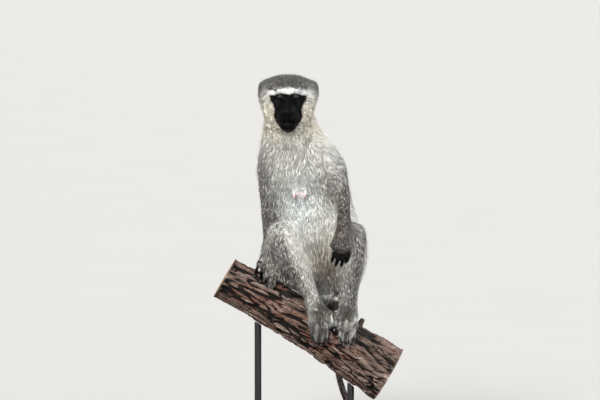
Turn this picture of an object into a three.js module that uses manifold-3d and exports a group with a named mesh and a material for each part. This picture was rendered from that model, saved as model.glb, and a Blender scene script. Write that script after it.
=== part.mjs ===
// An adult female vervet monkey sitting on a cut length of sloping branch, held by a plain display stand.
// Millimetres, +Z up. The origin is the middle of the stand's underside and the animal faces -Y,
// so its own right side is at -X. Each solid reaches to the tips of the coat.
import * as THREE from "three";
import Module from "manifold-3d";

const wasm = await Module();
wasm.setup();

// Driving dimensions.
const cutGap = 0.3; // width of the cuts that part the body
const clearance = 0.35; // how far a neighbour stands off where two parts touch
const sliver = 0.1; // facets thinner than this are closed up after the cuts
const base = { width: 360, depth: 300, thick: 15, corner: 36, bevel: 2 };
const rod = { radius: 6, foot: { radius: 15, height: 6 }, x: { right: -92, left: 66 } };
const tailLength = 560;
const tailLift = 9.4; // the lying tail's centreline over the board
const eye = { radius: 8.6, spacing: 26.4 };
const teat = { z: 409, rightX: -29, leftX: -15, backY: -45, tip: 14 }; // tip: degrees it points forward
const earPlace = { out: 49, back: 45, up: 9 }; // from the point midway between the eyes

const at = (x, y, z) => new THREE.Vector3(x, y, z);

// Joints and landmarks of the sitting animal.
const eyes = at(-40.5, -66, 587); // midway between the eyeballs
const spine = {
  pelvis: at(4, 30, 294),
  loin: at(4, 30, 348),
  chest: at(-10, 14, 412),
  shoulders: at(-18, 14, 462),
  neckBase: at(-25, 8, 502),
  skullBase: at(-38, -14, 554),
};
const arms = {
  right: { shoulder: at(-75, 10, 484), elbow: at(-74, 38, 389), wrist: at(-75, 26, 309) },
  left: { shoulder: at(28, 4, 482), elbow: at(55, -58, 424), wrist: at(48, -124, 353) },
};
const legs = {
  right: { hip: at(-36, 32, 294), knee: at(-60, -70, 366), ankle: at(3, -41, 244) },
  left: { hip: at(42, 30, 292), knee: at(77, -66, 362), ankle: at(61, -26, 240) },
};

// The branch: centreline stations with their radius, from its upper to its lower end.
const branch = [
  [at(-148, 3, 274), 39],
  [at(-98, 1, 247), 40.5],
  [at(-48, 0, 219), 42],
  [at(2, 0, 191), 43.5],
  [at(56, 0, 158), 48],
  [at(88, 1, 137), 50],
  [at(126, 3, 110), 51],
];

// Fields of distance.
// A form is a function (x, y, z) that is negative inside the flesh.
function ball(c, r) {
  return (x, y, z) => Math.hypot(x - c.x, y - c.y, z - c.z) - r;
}

// An ellipsoid with half-sizes rx, ry, rz, tipped about the X axis by tip degrees.
function lump(c, [rx, ry, rz], tip = 0) {
  const [co, si] = [Math.cos(THREE.MathUtils.degToRad(tip)), Math.sin(THREE.MathUtils.degToRad(tip))];
  return (x, y, z) => {
    const [dx, dy, dz] = [x - c.x, (y - c.y) * co + (z - c.z) * si, (z - c.z) * co - (y - c.y) * si];
    const near = Math.hypot(dx / rx, dy / ry, dz / rz);
    const slope = Math.hypot(dx / rx ** 2, dy / ry ** 2, dz / rz ** 2);
    return slope < 1e-9 ? -Math.min(rx, ry, rz) : (near * (near - 1)) / slope;
  };
}

// A limb's length: a cone with round ends, ra at a and rb at b.
function bone(a, b, ra, rb) {
  const [bx, by, bz] = [b.x - a.x, b.y - a.y, b.z - a.z];
  const [long2, dr] = [bx * bx + by * by + bz * bz, ra - rb];
  const [a2, inv] = [long2 - dr * dr, 1 / long2];
  return (x, y, z) => {
    const [px, py, pz] = [x - a.x, y - a.y, z - a.z];
    const along = px * bx + py * by + pz * bz;
    const past = along - long2;
    const off2 =
      (px * long2 - bx * along) ** 2 + (py * long2 - by * along) ** 2 + (pz * long2 - bz * along) ** 2;
    const [y2, z2] = [along * along * long2, past * past * long2];
    const k = Math.sign(dr) * dr * dr * off2;
    if (Math.sign(past) * a2 * z2 > k) return Math.sqrt(off2 + z2) * inv - rb;
    if (Math.sign(along) * a2 * y2 < k) return Math.sqrt(off2 + y2) * inv - ra;
    return (Math.sqrt(off2 * a2 * inv) + along * dr) * inv - ra;
  };
}

// A run of bones through several points, with a radius at each.
function finger(points, radii) {
  return merged(points.slice(1).map((p, i) => bone(points[i], p, radii[i], radii[i + 1])), 1.5);
}

// Forms joined with a fillet of size k, as flesh runs together.
function merged(forms, k) {
  return (x, y, z) => {
    let d = forms[0](x, y, z);
    for (let i = 1; i < forms.length; i++) {
      const e = forms[i](x, y, z);
      const h = Math.max(k - Math.abs(d - e), 0) / k;
      d = Math.min(d, e) - (h * h * k) / 4;
    }
    return d;
  };
}

// Forms that meet with no fillet, as fingers lie side by side.
function beside(forms) {
  return (x, y, z) => Math.min(...forms.map((f) => f(x, y, z)));
}

function hollowed(form, hole, k) {
  return (x, y, z) => {
    const [d, e] = [form(x, y, z), -hole(x, y, z)];
    const h = Math.max(k - Math.abs(d - e), 0) / k;
    return Math.max(d, e) + (h * h * k) / 4;
  };
}

const between = (a, b, t) => a.clone().lerp(b, t);

// The branch as a place to stand on.
const branchCurve = new THREE.CatmullRomCurve3(branch.map(([p]) => p));

// The centre and radius of the branch beside a point, and how far the point is from the bark.
function besideBranch(p) {
  let best = null;
  for (let i = 1; i < branch.length; i++) {
    const [[a, ra], [b, rb]] = [branch[i - 1], branch[i]];
    const line = new THREE.Line3(a, b);
    const t = line.closestPointToPointParameter(p, true);
    const centre = line.at(t, at(0, 0, 0));
    const gap = centre.distanceTo(p) - THREE.MathUtils.lerp(ra, rb, t);
    if (!best || gap < best.gap) best = { centre, gap };
  }
  return best;
}

// The point over (x, z) of the front view that is lift off the bark, on the side that faces forward.
function onBranch(x, z, lift) {
  let [outer, inner] = [-120, 0];
  for (let i = 0; i < 24; i++) {
    const middle = (outer + inner) / 2;
    if (besideBranch(at(x, middle, z)).gap > lift) outer = middle;
    else inner = middle;
  }
  return at(x, outer, z);
}

// Flesh.
function head() {
  const here = (x, y, z) => at(eyes.x + x, eyes.y + y, eyes.z + z);
  const both = (x, y, z, radii, tip) => [-1, 1].map((s) => lump(here(s * x, y, z), radii, tip));
  const skull = [
    lump(here(0, 46, 3), [45, 50, 37]),
    lump(here(0, 25, 12), [34, 28, 27]),
    ...both(26, 43, 12, [22, 38, 25]),
  ];
  const whiskers = [
    ...both(33, 25, -15, [21, 24, 25], 10),
    ...both(23, 18, -35, [20, 24, 20], 20),
    lump(here(0, 26, -42), [26, 30, 22], 20),
  ];
  const browHalf = 21;
  const face = [
    bone(here(-browHalf, -2, 12.5), here(browHalf, -2, 12.5), 7, 7),
    ...[-1, 1].map((s) => bone(here(s * 24, 3, 5), here(s * 20, 2, -12), 7, 8)),
    ...both(13, 2, -18, [12, 12, 13]),
    bone(here(0, -2, 5), here(0, -17.5, -24), 7.5, 8),
    lump(here(0, -8, -26), [18, 15, 15], -20),
    lump(here(0, -21.5, -27.5), [9, 6.5, 5.5]),
    lump(here(0, -12, -35.5), [18.5, 15, 9], -8),
    lump(here(0, -7, -49), [15.5, 15, 9.5], 8),
  ];
  const sockets = [-1, 1].map((s) => lump(here((s * eye.spacing) / 2, -11.5, 0), [9.5, 6.5, 6]));
  const mouth = bone(here(-13, -17, -42), here(13, -17, -42), 1.4, 1.4);
  const nostrils = [-1, 1].map((s) => ball(here(s * 4, -28, -29.5), 1.8));
  let form = merged([merged([...skull, ...whiskers], 16), merged(face, 7)], 5);
  for (const dip of [...sockets, mouth, ...nostrils]) form = hollowed(form, dip, 3);
  return form;
}

function neckAndTrunk() {
  const { pelvis, loin, chest, shoulders, neckBase, skullBase } = spine;
  return merged(
    [
      lump(pelvis, [56, 48, 46]),
      lump(at(-34, 46, 320), [34, 30, 48]),
      lump(at(44, 46, 318), [34, 30, 48]),
      lump(at(4, -4, 328), [49, 48, 58]),
      lump(loin, [56, 46, 54]),
      bone(at(6, 14, 470), at(43, 14, 384), 38, 43),
      lump(at(50, 14, 356), [38, 44, 52]),
      lump(chest, [52, 51, 66]),
      lump(at(-18, -3, 452), [50, 38, 50]),
      lump(shoulders, [50, 44, 46]),
      lump(at(-12, 28, 424), [44, 44, 74]),
      bone(neckBase, skullBase, 42, 38),
      bone(at(-45, 4, 542), at(-60, 8, 492), 37, 35),
      bone(at(-30, 6, 536), at(6, 8, 490), 34, 36),
      lump(at(-36, -32, 520), [30, 20, 36], -15),
    ],
    18,
  );
}

// A hand or foot: a palm of rays from the wrist or heel to the knuckles, then free digits.
function paw(root, knuckles, digits, thumb, { palm, tip }) {
  const rays = merged(knuckles.map((k) => bone(root, k, palm[0], palm[1])), 4);
  const free = digits.map((d, i) => finger([knuckles[i], ...d], [tip[0], ...d.map(() => tip[1])]));
  const all = [...free, finger(thumb, thumb.map((_, i) => (i ? tip[1] : palm[1])))];
  return beside(all.map((f) => merged([rays, f], 3)));
}

function arm({ shoulder, elbow, wrist }, hand) {
  const upper = merged(
    [
      ball(shoulder, 27),
      bone(shoulder, elbow, 24, 18.5),
      bone(between(shoulder, elbow, 0.2), between(shoulder, elbow, 0.65), 23, 21),
    ],
    10,
  );
  const belly = between(elbow, wrist, 0.4);
  const lower = merged([bone(elbow, belly, 18, 17), bone(belly, wrist, 17, 12)], 8);
  return merged([upper, lower, hand], 6);
}

function rightHand() {
  const { wrist } = arms.right;
  const knuckleY = -9;
  const xs = [-89, -82, -75, -68];
  const knuckles = xs.map((x, i) => at(x, knuckleY + Math.abs(i - 1.2) * 2, 304 - (x + 92) * 0.5));
  const tips = [at(-97, 0, 280), at(-87.5, 0, 272), at(-78.5, 0, 266.5), at(-69, 0, 266)];
  const digits = tips.map((t, i) => [
    onBranch((t.x + xs[i]) / 2, knuckles[i].z - 9, 5),
    onBranch(t.x, t.z, 4.2),
  ]);
  const thumb = [between(wrist, knuckles[3], 0.45), onBranch(-58, 283, 5), onBranch(-55, 274, 4.2)];
  return paw(wrist, knuckles, digits, thumb, { palm: [11, 6], tip: [4.6, 4] });
}

function leftHand() {
  const { wrist } = arms.left;
  const xs = [39.5, 46.5, 53.5, 60];
  const knuckles = xs.map((x, i) => at(x, -143 + Math.abs(i - 1.2) * 2, 331 + Math.abs(i - 1.5)));
  const digits = [
    [at(36, -151, 325.5), at(33, -146, 317)],
    [at(43, -154, 321), at(39.5, -148, 310.5)],
    [at(51.5, -154, 320), at(48.5, -147, 309.5)],
    [at(59.5, -150, 323.5), at(56.5, -144, 315)],
  ];
  const thumb = [between(wrist, knuckles[0], 0.35), at(36, -133, 347), at(32, -137, 342)];
  return paw(wrist, knuckles, digits, thumb, { palm: [11, 6.2], tip: [4.6, 4] });
}

function leg({ hip, knee, ankle }, haunch, foot) {
  const calf = between(knee, ankle, 0.35);
  const thigh = merged(
    [
      bone(hip, between(hip, knee, 0.5), 42, 36),
      bone(between(hip, knee, 0.5), knee, 35, 23),
      haunch,
    ],
    10,
  );
  const shin = merged([bone(knee, calf, 22, 24), bone(calf, between(knee, ankle, 0.85), 24, 16)], 8);
  return merged([thigh, shin, bone(between(knee, ankle, 0.8), ankle, 16, 15), foot], 8);
}

function foot({ ankle, heel, knuckles, tips, hallux }) {
  const toes = tips.map(([x, z], i) => {
    const [kx, kz] = knuckles[i];
    return [onBranch((kx + x) / 2, (kz + z) / 2, 6.5), onBranch(x, z, 5)];
  });
  const ballOfFoot = knuckles.map(([x, z]) => onBranch(x, z, 9));
  const root = between(ankle, ballOfFoot[hallux.beside], 0.35);
  const bigToe = [root, ...hallux.path.map(([x, z]) => onBranch(x, z, 6))];
  const sole = paw(ankle, ballOfFoot, toes, bigToe, { palm: [12.5, 8.5], tip: [6, 4.8] });
  return merged([sole, bone(ankle, heel, 13, 11)], 6);
}

const rightFoot = () =>
  foot({
    ankle: legs.right.ankle,
    heel: at(-4, -20, 246),
    knuckles: [[1.5, 206], [8.5, 202], [16, 202], [22.5, 206]],
    tips: [[1, 176], [8, 168], [15, 168], [22, 174]],
    hallux: { beside: 3, path: [[28, 219], [34.5, 208]] },
  });

const leftFoot = () =>
  foot({
    ankle: legs.left.ankle,
    heel: at(57, -4, 234),
    knuckles: [[49, 202], [56.5, 198], [64.5, 198], [72, 202]],
    tips: [[46, 175], [53.5, 168], [61.5, 167], [69.5, 172]],
    hallux: { beside: 0, path: [[40.5, 207], [38, 192]] },
  });

const earCentre = (side) => at(eyes.x + side * earPlace.out, eyes.y + earPlace.back, eyes.z + earPlace.up);

function ear(side) {
  const centre = earCentre(side);
  const shell = lump(centre, [5.5, 15, 18], 12);
  const cup = lump(at(centre.x + side * 5, centre.y - 2.5, centre.z), [5.5, 10.5, 13.5], 12);
  return hollowed(shell, cup, 1.5);
}

function tail() {
  // It leaves the rump, hangs behind the branch, then lies in an open curl on the stand.
  const lie = base.thick + tailLift;
  const curl = { x: 68, y: 4, radius: 80, first: 76, step: -22, points: 12 };
  const hang = [
    at(6, 58, 284),
    at(10, 82, 276),
    at(16, 94, 250),
    at(26, 93, 200),
    at(38, 89, 140),
    at(50, 87, 80),
    at(60, 87, 44),
  ];
  const turns = Array.from({ length: curl.points }, (_, i) => {
    const angle = THREE.MathUtils.degToRad(curl.first + curl.step * i);
    return at(curl.x + curl.radius * Math.cos(angle), curl.y + curl.radius * Math.sin(angle), lie);
  });
  const path = new THREE.CatmullRomCurve3([...hang, ...turns]);
  const share = Math.min(1, tailLength / path.getLength());
  return {
    point: (t) => path.getPointAt(t * share),
    radius: (t) => (t < 0.08 ? 14 - 45 * t : 10.4 - 1.9 * t), // stouter at its root
  };
}

// From fields to faceted solids.
// A cell's eight corners, its twelve edges, and for each pattern of corners inside the flesh
// whether the surface would pass through the cell as two sheets.
const corners = Array.from({ length: 8 }, (_, c) => [c & 1, (c >> 1) & 1, c >> 2]);
const cornersMeet = (a, b) => [1, 2, 4].includes(a ^ b);
const edges = corners.flatMap((_, a) =>
  corners.map((__, b) => [a, b]).filter(([p, q]) => p < q && cornersMeet(p, q)),
);
const isOneGroup = (group) => {
  const reached = group.slice(0, 1);
  for (const a of reached) reached.push(...group.filter((b) => cornersMeet(a, b) && !reached.includes(b)));
  return reached.length === group.length;
};
const twoSheets = Array.from({ length: 256 }, (_, mask) => {
  const [inside, outside] = [[], []];
  corners.forEach((_, c) => (mask & (1 << c) ? inside : outside).push(c));
  return !isOneGroup(inside) || !isOneGroup(outside);
});

// Surface nets: one vertex in each grid cell that the surface crosses, one quad for each crossed edge.
function polygonize(form, low, high, cell) {
  const n = [0, 1, 2].map((k) => Math.ceil((high.getComponent(k) - low.getComponent(k)) / cell) + 2);
  const index = (i, j, k) => i + n[0] * (j + n[1] * k);
  const value = new Float32Array(n[0] * n[1] * n[2]);
  for (let k = 0; k < n[2]; k++)
    for (let j = 0; j < n[1]; j++)
      for (let i = 0; i < n[0]; i++)
        value[index(i, j, k)] = form(low.x + i * cell, low.y + j * cell, low.z + k * cell);
  const offsets = corners.map(([a, b, c]) => index(a, b, c));
  // Where two sheets would share a cell, its least open corner is filled, so that the net stays closed.
  for (let filled = 1; filled > 0; ) {
    filled = 0;
    for (let k = 0; k < n[2] - 1; k++)
      for (let j = 0; j < n[1] - 1; j++)
        for (let i = 0, first = index(0, j, k); i < n[0] - 1; i++, first++) {
          let mask = 0;
          for (let c = 0; c < 8; c++) if (value[first + offsets[c]] < 0) mask |= 1 << c;
          if (!twoSheets[mask]) continue;
          const open = offsets.filter((o) => value[first + o] >= 0);
          value[first + open.sort((a, b) => value[first + a] - value[first + b])[0]] = -cell / 20;
          filled++;
        }
  }
  const vertexOf = new Int32Array(value.length).fill(-1);
  const points = [];
  for (let k = 0; k < n[2] - 1; k++)
    for (let j = 0; j < n[1] - 1; j++)
      for (let i = 0; i < n[0] - 1; i++) {
        const first = index(i, j, k);
        let inside = 0;
        for (const o of offsets) inside += value[first + o] < 0 ? 1 : 0;
        if (inside === 0 || inside === 8) continue;
        const v = offsets.map((o) => value[first + o]);
        const sum = [0, 0, 0];
        let crossed = 0;
        for (const [p, q] of edges) {
          if (v[p] < 0 === v[q] < 0) continue;
          const t = v[p] / (v[p] - v[q]);
          for (let d = 0; d < 3; d++) sum[d] += corners[p][d] + t * (corners[q][d] - corners[p][d]);
          crossed++;
        }
        vertexOf[first] = points.length / 3;
        const corner = [i, j, k];
        points.push(...low.toArray().map((l, d) => l + (corner[d] + sum[d] / crossed) * cell));
      }
  const faces = [];
  const steps = [[1, 0, 0], [0, 1, 0], [0, 0, 1]];
  for (let k = 1; k < n[2] - 1; k++)
    for (let j = 1; j < n[1] - 1; j++)
      for (let i = 1; i < n[0] - 1; i++)
        for (let d = 0; d < 3; d++) {
          const s = steps[d];
          const inside = value[index(i, j, k)] < 0;
          if (inside === value[index(i + s[0], j + s[1], k + s[2])] < 0) continue;
          const [u, w] = [steps[(d + 1) % 3], steps[(d + 2) % 3]];
          const ring = [[0, 0], [1, 0], [1, 1], [0, 1]].map(([a, b]) =>
            vertexOf[index(i - a * u[0] - b * w[0], j - a * u[1] - b * w[1], k - a * u[2] - b * w[2])]);
          if (!inside) ring.reverse();
          faces.push(ring[0], ring[1], ring[2], ring[0], ring[2], ring[3]);
        }
  return { points, faces };
}

// Joins edges, the flattest first, until keep triangles are left. fine(x, y, z) says how much a place counts.
function simplify({ points, faces }, keep, fine = () => 1) {
  const count = points.length / 3;
  const quadric = new Float64Array(count * 10);
  const around = Array.from({ length: count }, () => new Set());
  const stamp = new Int32Array(count);
  const get = (v) => [points[3 * v], points[3 * v + 1], points[3 * v + 2]];
  const cross = (a, b, c) => {
    const [ux, uy, uz] = b.map((x, i) => x - a[i]);
    const [vx, vy, vz] = c.map((x, i) => x - a[i]);
    return [uy * vz - uz * vy, uz * vx - ux * vz, ux * vy - uy * vx];
  };
  for (let f = 0; f < faces.length / 3; f++) {
    const tri = [0, 1, 2].map((k) => faces[3 * f + k]);
    const [a, b, c] = tri.map(get);
    const normal = cross(a, b, c);
    const area = Math.hypot(...normal);
    tri.forEach((v) => around[v].add(f));
    if (area < 1e-12) continue;
    const plane = normal.map((x) => x / area);
    plane.push(-(plane[0] * a[0] + plane[1] * a[1] + plane[2] * a[2]));
    const weight = area * fine(...a);
    tri.forEach((v) => {
      for (let i = 0, m = 0; i < 4; i++)
        for (let j = i; j < 4; j++, m++) quadric[10 * v + m] += weight * plane[i] * plane[j];
    });
  }
  const cost = (q, [x, y, z]) =>
    q[0] * x * x + 2 * q[1] * x * y + 2 * q[2] * x * z + 2 * q[3] * x + q[4] * y * y + 2 * q[5] * y * z +
    2 * q[6] * y + q[7] * z * z + 2 * q[8] * z + q[9];
  const best = (q, a, b) => {
    // The point with the least error, if the quadric has one near the edge.
    const [xx, xy, xz, xw, yy, yz, yw, zz, zw] = q;
    const m = new THREE.Matrix3().set(xx, xy, xz, xy, yy, yz, xz, yz, zz);
    const middle = a.map((v, i) => (v + b[i]) / 2);
    const span = Math.hypot(...a.map((v, i) => v - b[i]));
    const options = [middle, a, b];
    if (Math.abs(m.determinant()) > 1e-3 * (xx + yy + zz) ** 3 / 27) {
      const p = new THREE.Vector3(-xw, -yw, -zw).applyMatrix3(m.invert()).toArray();
      if (Math.hypot(...p.map((v, i) => v - middle[i])) < span) options.unshift(p);
    }
    return options.map((p) => [cost(q, p), p]).sort((x, y) => x[0] - y[0])[0];
  };
  const heap = [];
  const push = (item) => {
    let i = heap.push(item) - 1;
    while (i > 0 && heap[(i - 1) >> 1][0] > item[0]) {
      heap[i] = heap[(i - 1) >> 1];
      i = (i - 1) >> 1;
    }
    heap[i] = item;
  };
  const pop = () => {
    const top = heap[0];
    const last = heap.pop();
    if (heap.length) {
      let i = 0;
      for (;;) {
        let c = 2 * i + 1;
        if (c + 1 < heap.length && heap[c + 1][0] < heap[c][0]) c++;
        if (c >= heap.length || heap[c][0] >= last[0]) break;
        heap[i] = heap[c];
        i = c;
      }
      heap[i] = last;
    }
    return top;
  };
  const neighbours = (v) => {
    const found = new Set();
    for (const f of around[v]) for (let k = 0; k < 3; k++) found.add(faces[3 * f + k]);
    found.delete(v);
    return found;
  };
  const offer = (u, v) => {
    const q = Array.from({ length: 10 }, (_, i) => quadric[10 * u + i] + quadric[10 * v + i]);
    const [error, p] = best(q, get(u), get(v));
    const [a, b] = [get(u), get(v)];
    const long = Math.hypot(...a.map((x, i) => x - b[i]));
    push([error + 1e-4 * long * long * fine(...a), u, v, stamp[u], stamp[v], p]);
  };
  for (let v = 0; v < count; v++) for (const u of neighbours(v)) if (u > v) offer(v, u);
  const turns = (v, gone, p) => {
    for (const f of around[v]) {
      const tri = [faces[3 * f], faces[3 * f + 1], faces[3 * f + 2]];
      if (tri.includes(gone)) continue;
      const old = cross(...tri.map(get));
      const now = cross(...tri.map((w) => (w === v ? p : get(w))));
      const dot = old[0] * now[0] + old[1] * now[1] + old[2] * now[2];
      if (dot < 0.3 * Math.hypot(...old) * Math.hypot(...now)) return true;
    }
    return false;
  };
  let left = faces.length / 3;
  while (left > keep && heap.length) {
    const [, u, v, su, sv, p] = pop();
    if (stamp[u] !== su || stamp[v] !== sv) continue;
    const [nu, nv] = [neighbours(u), neighbours(v)];
    const shared = [...around[u]].filter((f) => around[v].has(f));
    if (shared.length !== 2 || [...nu].filter((w) => nv.has(w)).length !== 2) continue;
    if (turns(u, v, p) || turns(v, u, p)) continue;
    for (const f of shared) {
      for (let k = 0; k < 3; k++) around[faces[3 * f + k]].delete(f);
      left--;
    }
    for (const f of around[v]) {
      for (let k = 0; k < 3; k++) if (faces[3 * f + k] === v) faces[3 * f + k] = u;
      around[u].add(f);
    }
    around[v].clear();
    p.forEach((x, k) => (points[3 * u + k] = x));
    for (let i = 0; i < 10; i++) quadric[10 * u + i] += quadric[10 * v + i];
    stamp[u]++;
    stamp[v] = -1;
    for (const w of neighbours(u)) offer(u, w);
  }
  const kept = new Set();
  around.forEach((set) => set.forEach((f) => kept.add(f)));
  const renumber = new Map();
  const out = { points: [], faces: [] };
  for (const f of [...kept].sort((a, b) => a - b))
    for (let k = 0; k < 3; k++) {
      const v = faces[3 * f + k];
      if (!renumber.has(v)) {
        renumber.set(v, renumber.size);
        out.points.push(...get(v));
      }
      out.faces.push(renumber.get(v));
    }
  return out;
}

function solid({ points, faces }) {
  const [vertProperties, triVerts] = [new Float32Array(points), new Uint32Array(faces)];
  return new wasm.Manifold(new wasm.Mesh({ numProp: 3, vertProperties, triVerts }));
}

// The same mesh, with each vertex moved out along its normal.
function swollen({ points, faces }, by) {
  const normals = new Float64Array(points.length);
  for (let f = 0; f < faces.length; f += 3) {
    const [a, b, c] = [0, 1, 2].map((k) => new THREE.Vector3().fromArray(points, 3 * faces[f + k]));
    const n = b.clone().sub(a).cross(c.clone().sub(a));
    for (let k = 0; k < 3; k++) n.toArray().forEach((x, d) => (normals[3 * faces[f + k] + d] += x));
  }
  const out = points.map((x, i) => {
    const v = 3 * Math.floor(i / 3);
    return x + (by * normals[i]) / Math.hypot(normals[v], normals[v + 1], normals[v + 2]);
  });
  return { points: out, faces };
}

function fromGeometry(geometry) {
  const flat = geometry.index ? geometry.toNonIndexed() : geometry;
  const array = flat.getAttribute("position").array;
  const seen = new Map();
  const out = { points: [], faces: [] };
  for (let i = 0; i < array.length; i += 3) {
    const key = [0, 1, 2].map((k) => array[i + k].toFixed(3)).join();
    if (!seen.has(key)) {
      seen.set(key, seen.size);
      out.points.push(array[i], array[i + 1], array[i + 2]);
    }
    out.faces.push(seen.get(key));
  }
  const whole = { points: out.points, faces: [] };
  for (let f = 0; f < out.faces.length; f += 3) {
    const [a, b, c] = out.faces.slice(f, f + 3);
    if (a !== b && b !== c && a !== c) whole.faces.push(a, b, c);
  }
  return whole;
}

// The half of space on the side of point that normal points to, half a cut away from it.
function half(point, normal) {
  const size = 2000;
  const box = new THREE.BoxGeometry(size, size, size);
  box.translate(0, 0, size / 2 + cutGap / 2);
  box.applyQuaternion(new THREE.Quaternion().setFromUnitVectors(at(0, 0, 1), normal.clone().normalize()));
  box.translate(point.x, point.y, point.z);
  return solid(fromGeometry(box));
}

function split(whole, point, normal) {
  return [whole.intersect(half(point, normal)), whole.intersect(half(point, normal.clone().negate()))];
}

// The plane between two lengths of a limb that meet at joint, with its normal towards the far one.
const bend = (near, joint, far) =>
  far.clone().sub(joint).normalize().sub(near.clone().sub(joint).normalize()).normalize();

// The largest body of a cut solid, without the slivers that a cut can leave.
function largest(cut) {
  return cut.simplify(sliver).decompose().sort((a, b) => b.volume() - a.volume())[0];
}

// Making the pieces.
// The grid's cell in mm, and how many triangles are kept before the pieces are cut to meet.
const nets = {
  leg: { cell: 2.4, keep: 660 },
  arm: { cell: 2.2, keep: 520 },
  head: { cell: 2.2, keep: 1060 },
  trunk: { cell: 3.6, keep: 520 },
  ear: { cell: 1.6, keep: 120 },
};

function meshOf(form, [low, high], { cell, keep }, fine) {
  return simplify(polygonize(form, low, high, cell), keep, fine);
}

// The corners of quad j between rings i - 1 and i of a tube.
function ringQuad(i, j, sides) {
  const next = (j + 1) % sides;
  return [(i - 1) * sides + j, (i - 1) * sides + next, i * sides + next, i * sides + j];
}

// The branch: a round bar whose outline swells and dips a little, as barked wood does.
function branchMesh() {
  const [rings, sides] = [11, 14];
  const points = [];
  const faces = [];
  const frames = Array.from({ length: rings }, (_, i) => {
    const t = i / (rings - 1);
    const along = branchCurve.getTangentAt(t);
    const up = at(0, 0, 1).addScaledVector(along, -along.z).normalize();
    return { centre: branchCurve.getPointAt(t), up, out: up.clone().cross(along).normalize(), along };
  });
  const radiusAt = (p) => {
    const k = branch.findIndex(([q]) => q.x > p.x);
    if (k === 0) return branch[0][1];
    if (k < 0) return branch.at(-1)[1];
    const [[a, ra], [b, rb]] = [branch[k - 1], branch[k]];
    return THREE.MathUtils.mapLinear(p.x, a.x, b.x, ra, rb);
  };
  frames.forEach(({ centre, up, out }, i) => {
    for (let j = 0; j < sides; j++) {
      const angle = (2 * Math.PI * j) / sides;
      const swell = 1.2 * Math.sin(3 * angle + i * 0.7) + 0.8 * Math.sin(5 * angle - i * 0.5);
      const p = centre.clone().addScaledVector(up, Math.cos(angle) * (radiusAt(centre) + swell));
      p.addScaledVector(out, Math.sin(angle) * (radiusAt(centre) + swell));
      points.push(...p.toArray());
    }
  });
  for (let i = 1; i < rings; i++)
    for (let j = 0; j < sides; j++) {
      const [a, b, c, d] = ringQuad(i, j, sides);
      faces.push(a, c, b, a, d, c);
    }
  [0, rings - 1].forEach((ring) => {
    const middle = points.length / 3;
    points.push(...frames[ring].centre.toArray());
    for (let j = 0; j < sides; j++) {
      const [a, b] = [ring * sides + j, ring * sides + ((j + 1) % sides)];
      faces.push(...(ring ? [middle, b, a] : [middle, a, b]));
    }
  });
  return { points, faces };
}

// A closed tube round a path, with a round nose at its far end.
function tube({ point, radius }, [from, to], rings, sides, nose) {
  const points = [];
  const faces = [];
  let side = at(1, 0, 0);
  const count = rings + 1;
  for (let i = 0; i < count; i++) {
    const t = THREE.MathUtils.lerp(from, to, i / rings);
    const along = point(Math.min(t + 1e-3, 1)).sub(point(Math.max(t - 1e-3, 0))).normalize();
    side = side.addScaledVector(along, -side.dot(along)).normalize();
    const up = along.clone().cross(side);
    const end = nose ? Math.sqrt(Math.max(1 - Math.max(i / rings - 0.9, 0) ** 2 / 0.0115, 0)) : 1;
    for (let j = 0; j < sides; j++) {
      const angle = (2 * Math.PI * j) / sides;
      const p = point(t).addScaledVector(side, radius(t) * end * Math.cos(angle));
      points.push(...p.addScaledVector(up, radius(t) * end * Math.sin(angle)).toArray());
    }
  }
  for (let i = 1; i < count; i++)
    for (let j = 0; j < sides; j++) {
      const [a, b, c, d] = ringQuad(i, j, sides);
      faces.push(a, b, c, a, c, d);
    }
  for (let j = 1; j < sides - 1; j++) {
    faces.push(0, j + 1, j);
    const last = (count - 1) * sides;
    faces.push(last, last + j, last + j + 1);
  }
  return { points, faces };
}

function eyeMesh(side) {
  const globe = new THREE.SphereGeometry(eye.radius, 12, 8);
  globe.rotateX(Math.PI / 2);
  globe.translate(eyes.x + (side * eye.spacing) / 2, eyes.y, eyes.z);
  return fromGeometry(globe);
}

// A long teat: a cone with a soft end, hung from the chest.
function teatMesh(x) {
  const profile = [[0, 0], [2.1, 0.4], [2.9, 2.6], [3.1, 6], [3.6, 12], [5.6, 18], [6.2, 20.5], [0, 20.5]];
  const cone = new THREE.LatheGeometry(profile.map(([r, h]) => new THREE.Vector2(r, h)), 10);
  cone.rotateX(Math.PI / 2 - THREE.MathUtils.degToRad(teat.tip));
  cone.translate(x, teat.backY, teat.z);
  return fromGeometry(cone);
}

const margin = 6;
const boxAround = (points, reach) => {
  const box = new THREE.Box3().setFromPoints(points).expandByScalar(reach + margin);
  return [box.min, box.max];
};

const branchPiece = branchMesh();
const branchSwollen = solid(swollen(branchPiece, clearance));

const haunches = { right: lump(at(-49, 8, 294), [38, 40, 44]), left: lump(at(60, 8, 294), [43, 42, 44]) };
const limbMeshes = {};
for (const side of ["right", "left"]) {
  const { hip, knee, ankle } = legs[side];
  const form = leg(legs[side], haunches[side], side === "right" ? rightFoot() : leftFoot());
  const box = boxAround([hip, knee, ankle, at(ankle.x, ankle.y - 20, 190)], 48);
  limbMeshes["leg_" + side] = meshOf(form, box, nets.leg, (x, y, z) => (z < ankle.z ? 6 : 1));
}
for (const side of ["right", "left"]) {
  const { shoulder, elbow, wrist } = arms[side];
  const form = arm(arms[side], side === "right" ? rightHand() : leftHand());
  const reach = side === "right" ? at(-82, -50, 265) : at(46, -150, 300);
  const box = boxAround([shoulder, elbow, wrist, reach], 30);
  limbMeshes["arm_" + side] = meshOf(form, box, nets.arm, (x, y, z) => (z < wrist.z + 6 ? 5 : 1));
}

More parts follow.
